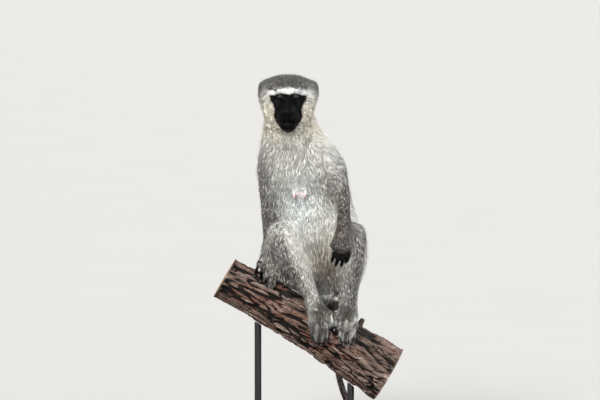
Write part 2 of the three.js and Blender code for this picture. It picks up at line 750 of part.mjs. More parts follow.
// The head has a finer grid than the trunk. Each net runs a little past the plane where they are cut.
const coreForm = merged([neckAndTrunk(), head()], 14);
const isFace = (x, y, z) => (y < eyes.y + 16 && z > eyes.z - 62 && z < eyes.z + 22 ? 8 : 1);
const headCut = { point: at(-38, -8, 552), normal: at(0, -0.42, 1).normalize() };
const neckCut = { point: at(-27, 6, 508), normal: at(-0.12, -0.36, 1).normalize() };
const overrun = 8;
const above = ({ point, normal }, x, y, z) =>
  (x - point.x) * normal.x + (y - point.y) * normal.y + (z - point.z) * normal.z;
const headForm = (x, y, z) => Math.max(coreForm(x, y, z), -overrun - above(headCut, x, y, z));
const trunkForm = (x, y, z) => Math.max(coreForm(x, y, z), above(headCut, x, y, z) - overrun);
const headMesh = meshOf(headForm, [at(-112, -112, 496), at(30, 56, 640)], nets.head, isFace);
const trunkMesh = meshOf(trunkForm, [at(-112, -108, 236), at(112, 100, 590)], nets.trunk);

const ears = { right: -1, left: 1 };
const earMeshes = Object.fromEntries(
  Object.entries(ears).map(([name, s]) => {
    return [name, meshOf(ear(s), boxAround([earCentre(s)], 18), nets.ear)];
  }),
);

// Cutting them to meet.
const swollenLimb = Object.fromEntries(
  Object.entries(limbMeshes).map(([name, mesh]) => [name, solid(swollen(mesh, clearance))]),
);
const pieces = {};

for (const side of ["right", "left"]) {
  const { hip, knee, ankle } = legs[side];
  let whole = solid(limbMeshes["leg_" + side]).subtract(branchSwollen);
  if (side === "left") whole = whole.subtract(swollenLimb.leg_right);
  const [lower, thigh] = split(whole, knee, bend(hip, knee, ankle));
  const [footPiece, shin] = split(lower, ankle, bend(knee, ankle, onBranch(ankle.x, ankle.z - 40, 8)));
  Object.assign(pieces, { ["thigh_" + side]: thigh, ["shin_" + side]: shin, ["foot_" + side]: footPiece });
}
for (const side of ["right", "left"]) {
  const { shoulder, elbow, wrist } = arms[side];
  let whole = solid(limbMeshes["arm_" + side]).subtract(branchSwollen);
  for (const legSide of ["right", "left"]) whole = whole.subtract(swollenLimb["leg_" + legSide]);
  const [lower, upper] = split(whole, elbow, bend(shoulder, elbow, wrist));
  const [handPiece, forearm] = split(lower, wrist, wrist.clone().sub(elbow).normalize());
  Object.assign(pieces, { ["upper_arm_" + side]: upper, ["forearm_" + side]: forearm });
  pieces["hand_" + side] = handPiece;
}

let headPiece = split(solid(headMesh), headCut.point, headCut.normal)[0];
let lowerCore = split(solid(trunkMesh), headCut.point, headCut.normal)[1].subtract(branchSwollen);
for (const limb of Object.values(swollenLimb)) lowerCore = lowerCore.subtract(limb);
for (const [name, side] of Object.entries(ears)) {
  const globe = eyeMesh(side);
  for (const inset of [globe, earMeshes[name]]) {
    headPiece = headPiece.subtract(solid(swollen(inset, clearance)));
  }
  pieces["eye_" + name] = solid(globe);
  pieces["ear_" + name] = solid(earMeshes[name]);
}
const trunkSwollen = solid(swollen(trunkMesh, clearance));
const [neck, trunk] = split(lowerCore, neckCut.point, neckCut.normal);
Object.assign(pieces, { trunk, neck, head: headPiece });
pieces.teat_right = solid(teatMesh(teat.rightX)).subtract(trunkSwollen);
pieces.teat_left = solid(teatMesh(teat.leftX)).subtract(trunkSwollen);

const tailPath = tail();
const tailPieces = [
  ["tail_root", 0, 0.25, 10],
  ["tail_hanging", 0.25, 0.5, 7],
  ["tail_lying", 0.5, 0.76, 11],
  ["tail_tip", 0.76, 1, 11],
];
const tailCut = cutGap / 2 / tailLength;
const tailSides = 10;
for (const [name, from, to, rings] of tailPieces) {
  const length = tube(tailPath, [from + tailCut, to - tailCut], rings, tailSides, name === "tail_tip");
  pieces[name] = solid(length).intersect(half(at(0, 0, base.thick + clearance), at(0, 0, 1)));
}
pieces.tail_root = pieces.tail_root.subtract(trunkSwollen);

pieces.perch = solid(branchPiece);

// The display stand.
function standBase() {
  const { width, depth, thick, corner, bevel } = base;
  const [w, d] = [width / 2 - bevel, depth / 2 - bevel];
  const outline = new THREE.Shape();
  outline.moveTo(-w + corner, -d);
  outline.lineTo(w - corner, -d);
  outline.absarc(w - corner, -d + corner, corner, -Math.PI / 2, 0);
  outline.lineTo(w, d - corner);
  outline.absarc(w - corner, d - corner, corner, 0, Math.PI / 2);
  outline.lineTo(-w + corner, d);
  outline.absarc(-w + corner, d - corner, corner, Math.PI / 2, Math.PI);
  outline.lineTo(-w, -d + corner);
  outline.absarc(-w + corner, -d + corner, corner, Math.PI, 1.5 * Math.PI);
  const board = new THREE.ExtrudeGeometry(outline, {
    depth: thick - 2 * bevel, bevelThickness: bevel, bevelSize: bevel, bevelSegments: 1, curveSegments: 3,
  });
  board.translate(0, 0, bevel);
  return solid(fromGeometry(board));
}

// A rod with a round foot flange, from the board up to the underside of the branch.
function standRod(x) {
  const top = besideBranch(at(x, 0, 0)).centre.z + 60;
  const bottom = base.thick + cutGap;
  const shoulder = bottom + rod.foot.height;
  const profile = [
    [0, bottom],
    [rod.foot.radius, bottom],
    [rod.foot.radius, shoulder],
    [rod.radius, shoulder],
    [rod.radius, top],
    [0, top],
  ];
  const turned = new THREE.LatheGeometry(profile.map(([r, h]) => new THREE.Vector2(r, h)), 14);
  turned.rotateX(Math.PI / 2);
  turned.translate(x, 0, 0);
  return solid(fromGeometry(turned)).subtract(branchSwollen).decompose()
    .sort((a, b) => a.boundingBox().min[2] - b.boundingBox().min[2])[0];
}

pieces.stand_base = standBase();
for (const [name, x] of Object.entries(rod.x)) pieces["stand_rod_" + name] = standRod(x);

// Materials and the finished group.
const finish = (color, roughness, metalness = 0) =>
  new THREE.MeshStandardMaterial({ color, roughness, metalness });
const materials = {
  coatGrey: finish(0x8b8983, 0.9),
  coatPale: finish(0xcfcabb, 0.9),
  skinDark: finish(0x1d1b1d, 0.6),
  teatPink: finish(0xe6b0a8, 0.5),
  eye: finish(0x2a160b, 0.15),
  bark: finish(0x5b4a45, 0.95),
  board: finish(0x3a2a20, 0.5),
  steel: finish(0x232426, 0.4, 0.8),
};
const wears = [
  [/^eye/, "eye"],
  [/^ear|^hand/, "skinDark"],
  [/^teat/, "teatPink"],
  [/^perch/, "bark"],
  [/^stand_base/, "board"],
  [/^stand_rod/, "steel"],
  [/^trunk|^neck|^foot/, "coatPale"],
  [/./, "coatGrey"],
];

const monkey = new THREE.Group();
for (const [name, piece] of Object.entries(pieces)) {
  const { vertProperties, triVerts } = largest(piece).getMesh();
  const geometry = new THREE.BufferGeometry();
  geometry.setAttribute("position", new THREE.BufferAttribute(new Float32Array(vertProperties), 3));
  geometry.setIndex(new THREE.BufferAttribute(new Uint32Array(triVerts), 1));
  geometry.computeVertexNormals();
  const mesh = new THREE.Mesh(geometry, materials[wears.find(([pattern]) => pattern.test(name))[1]]);
  mesh.name = name;
  monkey.add(mesh);
}

export default monkey;
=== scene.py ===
# A life-size vervet monkey on its perch: skin, coat, eyes, claws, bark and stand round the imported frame.
# Lengths are in millimetres until a mesh is made. The animal faces -Y and its right side is at -X.
import heapq
import math

import bmesh
import bpy
import numpy as np
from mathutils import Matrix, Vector, kdtree
from mathutils.bvhtree import BVHTree


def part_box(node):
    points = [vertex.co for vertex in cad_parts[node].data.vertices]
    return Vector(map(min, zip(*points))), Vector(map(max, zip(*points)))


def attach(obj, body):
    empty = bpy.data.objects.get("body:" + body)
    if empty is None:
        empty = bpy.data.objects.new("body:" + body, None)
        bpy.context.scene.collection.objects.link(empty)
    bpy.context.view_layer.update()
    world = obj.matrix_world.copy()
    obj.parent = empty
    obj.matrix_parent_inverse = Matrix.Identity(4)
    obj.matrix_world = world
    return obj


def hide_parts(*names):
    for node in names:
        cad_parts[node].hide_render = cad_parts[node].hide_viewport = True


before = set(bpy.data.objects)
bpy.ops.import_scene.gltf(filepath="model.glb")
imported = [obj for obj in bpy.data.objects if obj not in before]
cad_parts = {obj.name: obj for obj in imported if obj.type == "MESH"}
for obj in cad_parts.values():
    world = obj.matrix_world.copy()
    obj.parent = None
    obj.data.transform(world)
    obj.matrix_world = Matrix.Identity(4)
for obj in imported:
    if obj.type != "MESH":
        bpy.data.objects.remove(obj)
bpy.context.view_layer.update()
mm = 0.001
rng = np.random.default_rng(20)
scene = bpy.context.scene
sides = ("right", "left")


def rgb(*screen):  # a screen colour, 0 to 255, as scene light
    light = [((c / 255 + 0.055) / 1.055) ** 2.4 if c > 10 else c / 255 / 12.92 for c in screen]
    return (*light, 1.0)


# ---- camera, floor and light
view = {
    "target": (-20.4, 0, 408),
    "distance": 7000,
    "elevation": 4,
    "width": 1020,  # what the picture takes in at the target
    "sky": (rgb(240, 241, 244), 0.82),
    "clip": 100,  # metres
    "sunsAway": 2000,
    # each sun: where its light comes from, how wide it is in degrees, strength and colour
    "suns": {
        "key": ((-0.5, -1.2, 0.95), 30, 4.1, rgb(255, 251, 243)),
        "fill": ((1.0, -0.75, 0.5), 60, 1.1, rgb(243, 247, 255)),
        "rim": ((0.8, 0.75, 0.9), 12, 2.4, rgb(255, 252, 244)),
    },
}
floor = {"radius": 45000, "colours": (rgb(162, 163, 163), rgb(166, 166, 165))}


def aim(thing, place, target):
    thing.location = Vector(place) * mm
    thing.rotation_euler = (Vector(target) * mm - thing.location).to_track_quat("-Z", "Y").to_euler()
    scene.collection.objects.link(thing)


def makeStudio():
    camera = bpy.data.objects.new("camera", bpy.data.cameras.new("camera"))
    tilt = math.radians(view["elevation"])
    away = Vector((0, -math.cos(tilt), math.sin(tilt))) * view["distance"]
    aim(camera, Vector(view["target"]) + away, view["target"])
    camera.data.lens = camera.data.sensor_width * view["distance"] / view["width"]
    camera.data.clip_end = view["clip"]
    scene.camera = camera
    for name, (place, width, strength, colour) in view["suns"].items():
        light = bpy.data.lights.new(name, "SUN")
        light.angle, light.energy, light.color = math.radians(width), strength, colour[:3]
        aim(bpy.data.objects.new(name, light), Vector(place) * view["sunsAway"], (0, 0, 0))
    world = bpy.data.worlds.new("sky")
    world.use_nodes = True
    background = world.node_tree.nodes["Background"]
    background.inputs["Color"].default_value, background.inputs["Strength"].default_value = view["sky"]
    scene.world = world
    scene.view_settings.view_transform = "Standard"


makeStudio()
print("stage: camera and lights")


# ---- shader helpers
class Socket:  # a shader value that takes + - and * with numbers and other values
    def __init__(self, finish, socket):
        self.finish, self.socket = finish, socket

    def __add__(self, other):
        return self.finish.math("ADD", self, other)

    def __radd__(self, other):
        return self.finish.math("ADD", other, self)

    def __sub__(self, other):
        return self.finish.math("SUBTRACT", self, other)

    def __rsub__(self, other):
        return self.finish.math("SUBTRACT", other, self)

    def __mul__(self, other):
        return self.finish.math("MULTIPLY", self, other)

    def __rmul__(self, other):
        return self.finish.math("MULTIPLY", other, self)


class Finish:  # a material and the nodes that make it
    def __init__(self, name, **fixed):
        self.material = bpy.data.materials.new(name)
        self.material.use_nodes = True
        self.tree = self.material.node_tree
        self.shader = self.tree.nodes["Principled BSDF"]
        self.put(self.shader, fixed)

    def put(self, node, sockets):
        for name, value in sockets.items():
            socket = node.inputs[name]
            if isinstance(value, Socket):
                self.tree.links.new(value.socket, socket)
            else:
                socket.default_value = value

    def add(self, kind, settings, sockets, out=0):
        node = self.tree.nodes.new("ShaderNode" + kind)
        for name, value in settings.items():
            if name == "stops":
                elements = node.color_ramp.elements
                while len(elements) < len(value):
                    elements.new(0.5)
                for element, (place, colour) in zip(elements, value):
                    element.position, element.color = place, colour
            else:
                setattr(node, name, value)
        self.put(node, sockets)
        return Socket(self, node.outputs[out])

    def math(self, operation, first, second=0.0):
        return self.add("Math", {"operation": operation}, {0: first, 1: second})

    def attribute(self, name):
        return self.add("Attribute", {"attribute_name": name}, {}, "Fac")

    def clamp(self, value):
        return self.add("Clamp", {}, {"Value": value})

    def smooth(self, value, low, high):
        settings = {"interpolation_type": "SMOOTHSTEP"}
        return self.add("MapRange", settings, {"Value": value, "From Min": low, "From Max": high})

    def mix(self, share, first, second, blend="MIX"):
        settings = {"data_type": "RGBA", "blend_type": blend}
        return self.add("Mix", settings, {"Factor": share, 6: first, 7: second}, 2)

    def ramp(self, value, stops):
        return self.add("ValToRGB", {"stops": stops}, {"Fac": value})

    def place(self, stretch=(1, 1, 1)):  # where a point is on the object, in metres, stretched
        spot = self.add("TexCoord", {}, {}, "Object")
        return self.add("Mapping", {}, {"Vector": spot, "Scale": stretch})

    def noise(self, where, scale, detail=3.0, rough=0.5):
        sockets = {"Vector": where, "Scale": scale, "Detail": detail, "Roughness": rough}
        return self.add("TexNoise", {}, sockets, "Fac")

    def cells(self, where, scale):
        return self.add("TexVoronoi", {}, {"Vector": where, "Scale": scale}, "Distance")

    def bump(self, height, strength, distance):
        return self.add("Bump", {}, {"Strength": strength, "Distance": distance, "Height": height})

    def done(self, **linked):
        self.put(self.shader, {name.replace("_", " "): value for name, value in linked.items()})
        return self.material


# ---- mesh helpers
def smooth(low, high, value):
    t = np.clip((value - low) / (high - low), 0, 1)
    return t * t * (3 - 2 * t)


def bell(value, middle, width):
    return np.exp(-(((value - middle) / width) ** 2))


def unit(vectors):
    return vectors / np.maximum(np.linalg.norm(vectors, axis=-1, keepdims=True), 1e-9)


def crossOf(points, tris):  # the normal of each triangle, as long as twice its area
    a, b, c = (points[tris[:, k]] for k in range(3))
    return np.cross(b - a, c - a)


def toPoints(vectors, tris, count):  # the direction at each point, from those of its triangles
    out = np.zeros((count, 3))
    for k in range(3):
        for axis in range(3):
            out[:, axis] += np.bincount(tris[:, k], vectors[:, axis], count)
    return unit(out)


def normalsOf(points, tris):
    return toPoints(crossOf(points, tris), tris, len(points))


def treeOf(points):
    tree = kdtree.KDTree(len(points))
    for i, point in enumerate(points):
        tree.insert(point, i)
    tree.balance()
    return tree


def gridFaces(grid):  # two triangles in each cell of a grid whose rows close on themselves
    turned = np.roll(grid, -1, 1)
    a, b, c, d = grid[:-1], turned[:-1], grid[1:], turned[1:]
    return np.concatenate([np.stack([a, b, d], -1).reshape(-1, 3), np.stack([a, d, c], -1).reshape(-1, 3)])


def makeMesh(name, points, faces, values=None, material=None):
    mesh = bpy.data.meshes.new(name)
    mesh.vertices.add(len(points))
    mesh.vertices.foreach_set("co", (np.asarray(points, np.float32) * mm).ravel())
    mesh.loops.add(faces.size)
    mesh.loops.foreach_set("vertex_index", faces.astype(np.int32).ravel())
    mesh.polygons.add(len(faces))
    mesh.polygons.foreach_set("loop_start", np.arange(0, faces.size, faces.shape[1], dtype=np.int32))
    for key, value in (values or {}).items():
        layer = mesh.attributes.new(key, "FLOAT", "POINT")
        layer.data.foreach_set("value", np.asarray(value, np.float32))
    mesh.update(calc_edges=True)
    mesh.polygons.foreach_set("use_smooth", np.ones(len(faces), bool))
    thing = bpy.data.objects.new(name, mesh)
    scene.collection.objects.link(thing)
    if material:
        mesh.materials.append(material)
    return thing


def trianglesOf(mesh):
    mesh.calc_loop_triangles()
    points = np.empty(len(mesh.vertices) * 3, np.float32)
    mesh.vertices.foreach_get("co", points)
    tris = np.empty(len(mesh.loop_triangles) * 3, np.int32)
    mesh.loop_triangles.foreach_get("vertices", tris)
    return points.reshape(-1, 3).astype(float) / mm, tris.reshape(-1, 3)


def edgesOf(tris):
    pairs = np.sort(np.concatenate([tris[:, [0, 1]], tris[:, [1, 2]], tris[:, [2, 0]]]), axis=1)
    return np.unique(pairs, axis=0)


def spread(values, edges, rounds, share=0.5):  # evens values out over the skin
    values = values.copy().reshape(len(values), -1)
    count = np.maximum(np.bincount(edges.ravel(), minlength=len(values)), 1)
    for _ in range(rounds):
        for k in range(values.shape[1]):
            column = values[:, k]
            total = np.bincount(edges[:, 0], column[edges[:, 1]], len(values))
            total += np.bincount(edges[:, 1], column[edges[:, 0]], len(values))
            values[:, k] = column + share * (total / count - column)
    return values


def scatter(tris, weights, count):  # random places on a mesh: triangle and corner shares
    chosen = rng.choice(len(tris), count, p=weights / weights.sum())
    a, b = np.sqrt(rng.random(count)), rng.random(count)
    return chosen, np.stack([1 - a, a * (1 - b), a * b], 1)


def areas(points, tris):
    return np.linalg.norm(crossOf(points, tris), axis=1) / 2


def ride(thing, slot, *nodes):
    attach(thing, "root")
    if nodes:
        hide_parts(*nodes)
    return thing


# ---- landmarks, all read from the frame
solids = {name: trianglesOf(thing.data) for name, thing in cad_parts.items()}
notFlesh = ("perch", "stand_", "eye_")
flesh = [name for name in solids if not name.startswith(notFlesh)]


def centre(name):
    low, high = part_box(name)
    return np.array((low + high) / 2) / mm


eyeMiddle = (centre("eye_right") + centre("eye_left")) / 2
eyeRadius = np.ptp(solids["eye_left"][0][:, 2]) / 2
print("stage: landmarks")


# ---- fingers and toes, thinner and freer than in the solids
bark = BVHTree.FromPolygons(solids["perch"][0].tolist(), solids["perch"][1].tolist())


def onBark(x, z, lift):  # the point over (x, z) of the front view that is lift off the branch
    spot, normal, _, _ = bark.ray_cast((x, -400, z), (0, 1, 0))
    return (x, spot.y - lift / max(abs(normal.y), 0.5) if spot else -lift, z)


# How far the middle line of a digit is off the bark, towards its tip.
fingerLifts = (4.4, 3.4)
toeLifts = (6.5, 5.0, 3.8)


def finger(x, tip):  # of the right hand, from the knuckle at x to a tip on the bark
    slope = (x + 92) * 0.5
    bend, end = fingerLifts
    return [(x, -9, 304 - slope), onBark((x + tip[0]) / 2, 295 - slope, bend), onBark(*tip, end)]


def toe(knuckle, tip):
    middle = ((knuckle[0] + tip[0]) / 2, (knuckle[1] + tip[1]) / 2)
    return [onBark(*spot, lift) for spot, lift in zip((knuckle, middle, tip), toeLifts)]


# Each paw: the level under which the solid's digits are taken away, as a height, its fall and where the fall
# starts, how the solid tapers there, and the digits' radii and ways, from knuckle to tip.
paws = {
    "hand_right": {
        "level": (303, 0.5, -92),
        "taper": (0.32, 0.42),
        "radius": (3.7, 3.1, 2.7),
        "digits": [
            finger(-89, (-97, 280)),
            finger(-82, (-87.5, 272)),
            finger(-75, (-78.5, 266.5)),
            finger(-68, (-69, 266)),
            [(-66, 2, 296), onBark(-58, 283, fingerLifts[0]), onBark(-55, 274, fingerLifts[1])],
        ],
    },
    "hand_left": {
        "level": (330, 0, 0),
        "taper": (0.12, 0.42),
        "radius": (4.3, 3.7, 3.1),
        "digits": [
            [(39.5, -142, 332), (36, -151, 325.5), (33, -147, 317)],
            [(46.5, -142.5, 331), (43, -153.5, 321), (39.5, -148, 310.5)],
            [(53.5, -141.5, 331), (51.5, -153.5, 320), (48.5, -147, 309.5)],
            [(60, -140, 332), (59.5, -149.5, 323.5), (56.5, -144, 315)],
        ],
    },
    "foot_right": {
        "level": (204, 0, 0),
        "taper": (0.1, 0.62),
        "radius": (5.2, 3.7, 3.2),
        "digits": [
            toe((1.5, 206), (0, 176)),
            toe((8.7, 203), (7.8, 168)),
            toe((16, 203), (15.8, 168)),
            toe((23, 206), (24, 174)),
        ],
    },
    "foot_left": {
        "level": (204, 0, 0),
        "taper": (0.1, 0.62),
        "radius": (5.2, 3.7, 3.2),
        "digits": [
            toe((49, 203), (46, 175)),
            toe((56.5, 200), (53.7, 168)),
            toe((64.5, 200), (61.9, 167)),
            toe((71.5, 203), (70.5, 172)),
            [onBark(45, 214, 6), onBark(40.5, 207, 5.2), onBark(38, 192, 4)],
        ],
    },
}


def curve(stops, radii, count):  # a smooth way through three stops, with its radius
    t = np.linspace(0, 1, count)[:, None]
    a, b, c = (np.array(p, float) for p in stops)
    bend = 2 * b - (a + c) / 2
    way = (1 - t) ** 2 * a + 2 * t * (1 - t) * bend + t**2 * c
    return way, np.interp(t[:, 0], [0, 0.5, 1], radii)


def tube(way, radii, sides=14):  # a closed round rod with domed ends
    along = unit(np.gradient(way, axis=0))
    side = unit(np.cross(along, [0.3, 1, 0.2]))
    up = np.cross(along, side)
    dome = [(-1.0, 0.02), (-0.85, 0.5), (-0.5, 0.86)]
    rings = [(way[0] + along[0] * radii[0] * d, side[0], up[0], radii[0] * r) for d, r in dome]
    rings += list(zip(way, side, up, radii))
    rings += [(way[-1] - along[-1] * radii[-1] * d, side[-1], up[-1], radii[-1] * r) for d, r in dome[::-1]]
    turn = np.linspace(0, 2 * math.pi, sides, endpoint=False)
    points = [c + (np.cos(a) * s + np.sin(a) * u) * r for c, s, u, r in rings for a in turn]
    grid = np.arange(len(rings) * sides).reshape(len(rings), sides)
    caps = [(0, i + 1, i) for i in range(1, sides - 1)]
    last = grid[-1, 0]
    caps += [(last, last + i, last + i + 1) for i in range(1, sides - 1)]
    return np.array(points), np.concatenate([gridFaces(grid), np.array(caps)])


digits = [(name, *curve(stops, paw["radius"], 16)) for name, paw in paws.items() for stops in paw["digits"]]


# ---- skin: the flesh solids joined, then drawn in by the depth of the coat
skinShape = {
    "cell": 1.0,
    "keep": 0.11,  # share of the fine triangles that stays, most of them on face and paws
    "grow": 0.45,  # closes the cuts between the solids
    "rounds": 6,
    "cheek": 6.0,  # how much more the cheeks draw in under the face's middle
    # the seat and the right thigh reach down to the branch: the way and the radii of each filling
    "fillings": [
        ([(10, 16, 247), (30, 14, 238), (50, 16, 244)], (15, 23, 17)),
        ([(-54, 6, 284), (-36, 4, 272), (-8, 8, 254)], (14, 19, 19)),
    ],
    # depth of the coat over the skin, by part
    "depth": {
        "head": 6,
        "neck": 9,
        "trunk": 8.5,
        "ear": 0.2,
        "teat": 0.2,
        "tail": 3.2,
        "upper_arm": 6,
        "forearm": 3.6,
        "hand": 0.5,
        "thigh": 6.5,
        "shin": 4.2,
        "foot": 1.2,
    },
}
faceBox = {"half": 38, "low": -70, "high": 14, "back": 30}  # where the skin is finest, from between the eyes
faceEdge = {  # half the width of the bare face at heights over the eyes
    "heights": [-66, -60, -54, -42, -32, -21, -8, 0, 6, 9],
    "halfWidths": [-4, 7.5, 14, 22.5, 26, 24.5, 31.5, 33, 32, 25],
}


def partOf(name):  # thigh for thigh_left, tail for tail_tip
    return "tail" if name.startswith("tail") else name.removesuffix("_right").removesuffix("_left")


def withoutDigits(name, points):
    if name not in paws:
        return points
    points = points.copy()
    knuckles = np.array([way[0] for owner, way, _ in digits if owner == name])[:4]
    height, fall, start = paws[name]["level"]
    low = height - (points[:, 0] - start) * fall
    thin = smooth(15, 0, points[:, 2] - low)[:, None] * [*paws[name]["taper"], 0]
    points = points * (1 - thin) + knuckles.mean(0) * thin
    points[:, 2] = np.maximum(points[:, 2], low)
    return points


def nearFace(points, reach=0.0):
    x, y, z = (points - eyeMiddle).T
    inside = (np.abs(x) < faceBox["half"] + reach) & (y < faceBox["back"] + reach)
    return inside & (z > faceBox["low"] - reach) & (z < faceBox["high"] + reach)


def joinFlesh():
    pieces = [(withoutDigits(name, solids[name][0]), solids[name][1]) for name in flesh]
    pieces += [solids["eye_right"], solids["eye_left"]]
    pieces = [(points + normalsOf(points, tris) * skinShape["grow"], tris) for points, tris in pieces]
    pieces += [tube(way, radii) for _, way, radii in digits]
    pieces += [tube(*curve(way, radii, 8)) for way, radii in skinShape["fillings"]]
    starts = np.cumsum([0] + [len(points) for points, _ in pieces])
    faces = np.concatenate([tris + start for (_, tris), start in zip(pieces, starts)])
    thing = makeMesh("flesh", np.concatenate([points for points, _ in pieces]), faces)
    modifier = thing.modifiers.new("voxels", "REMESH")
    modifier.mode, modifier.voxel_size = "VOXEL", skinShape["cell"] * mm
    graph = bpy.context.evaluated_depsgraph_get()
    fine = bpy.data.objects.new("fine", bpy.data.meshes.new_from_object(thing.evaluated_get(graph)))
    bpy.data.objects.remove(thing)
    scene.collection.objects.link(fine)
    points, _ = trianglesOf(fine.data)
    paw = np.zeros(len(points), bool)
    for name in paws:
        low, high = (np.array(corner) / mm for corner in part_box(name))
        paw |= ((points > low - 2) & (points < high + [2, 2, -22])).all(1)
    coarse = fine.vertex_groups.new(name="coarse")
    coarse.add(np.flatnonzero(~(paw | nearFace(points, 4))).tolist(), 1.0, "REPLACE")
    modifier = fine.modifiers.new("fewer", "DECIMATE")
    modifier.ratio, modifier.vertex_group, modifier.vertex_group_factor = skinShape["keep"], "coarse", 100.0
    graph = bpy.context.evaluated_depsgraph_get()
    form = bmesh.new()
    form.from_mesh(fine.evaluated_get(graph).to_mesh())
    bpy.data.objects.remove(fine)
    form.verts.ensure_lookup_table()
    inside = nearFace(np.array([v.co for v in form.verts]) / mm)
    bmesh.ops.triangulate(form, faces=form.faces)
    edges = [e for e in form.edges if inside[e.verts[0].index] and inside[e.verts[1].index]]
    bmesh.ops.subdivide_edges(form, edges=edges, cuts=1, use_grid_fill=True)
    bmesh.ops.triangulate(form, faces=form.faces)
    mesh = bpy.data.meshes.new("skin")
    form.to_mesh(mesh)
    form.free()
    return trianglesOf(mesh)


def regionShares(points, edges):  # how much each point belongs to each flesh solid
    marks, labels = [], []
    for k, name in enumerate(flesh):
        solid, tris = solids[name]
        size = areas(solid, tris)
        count = int(size.sum() / 12) + 40
        chosen, share = scatter(tris, size, count)
        marks.append((solid[tris[chosen]] * share[:, :, None]).sum(1))
        labels += [k] * count
    tree = treeOf(np.concatenate(marks))
    shares = np.zeros((len(points), len(flesh)))
    for i, point in enumerate(points):
        shares[i, labels[tree.find(point)[1]]] = 1
    return spread(shares, edges, 8)


# how wide and high the gap between the lids is each way, how thick they are and how far they slope
lids = {"half": 6.6, "upper": 2.0, "lower": 2.5, "thick": 1.2, "tilt": 0.07}
eyeSet = 2.4  # how much deeper the eyeballs sit than their solids


def eyePlace(side):
    return centre("eye_" + side) + np.array([0, eyeSet, 0])


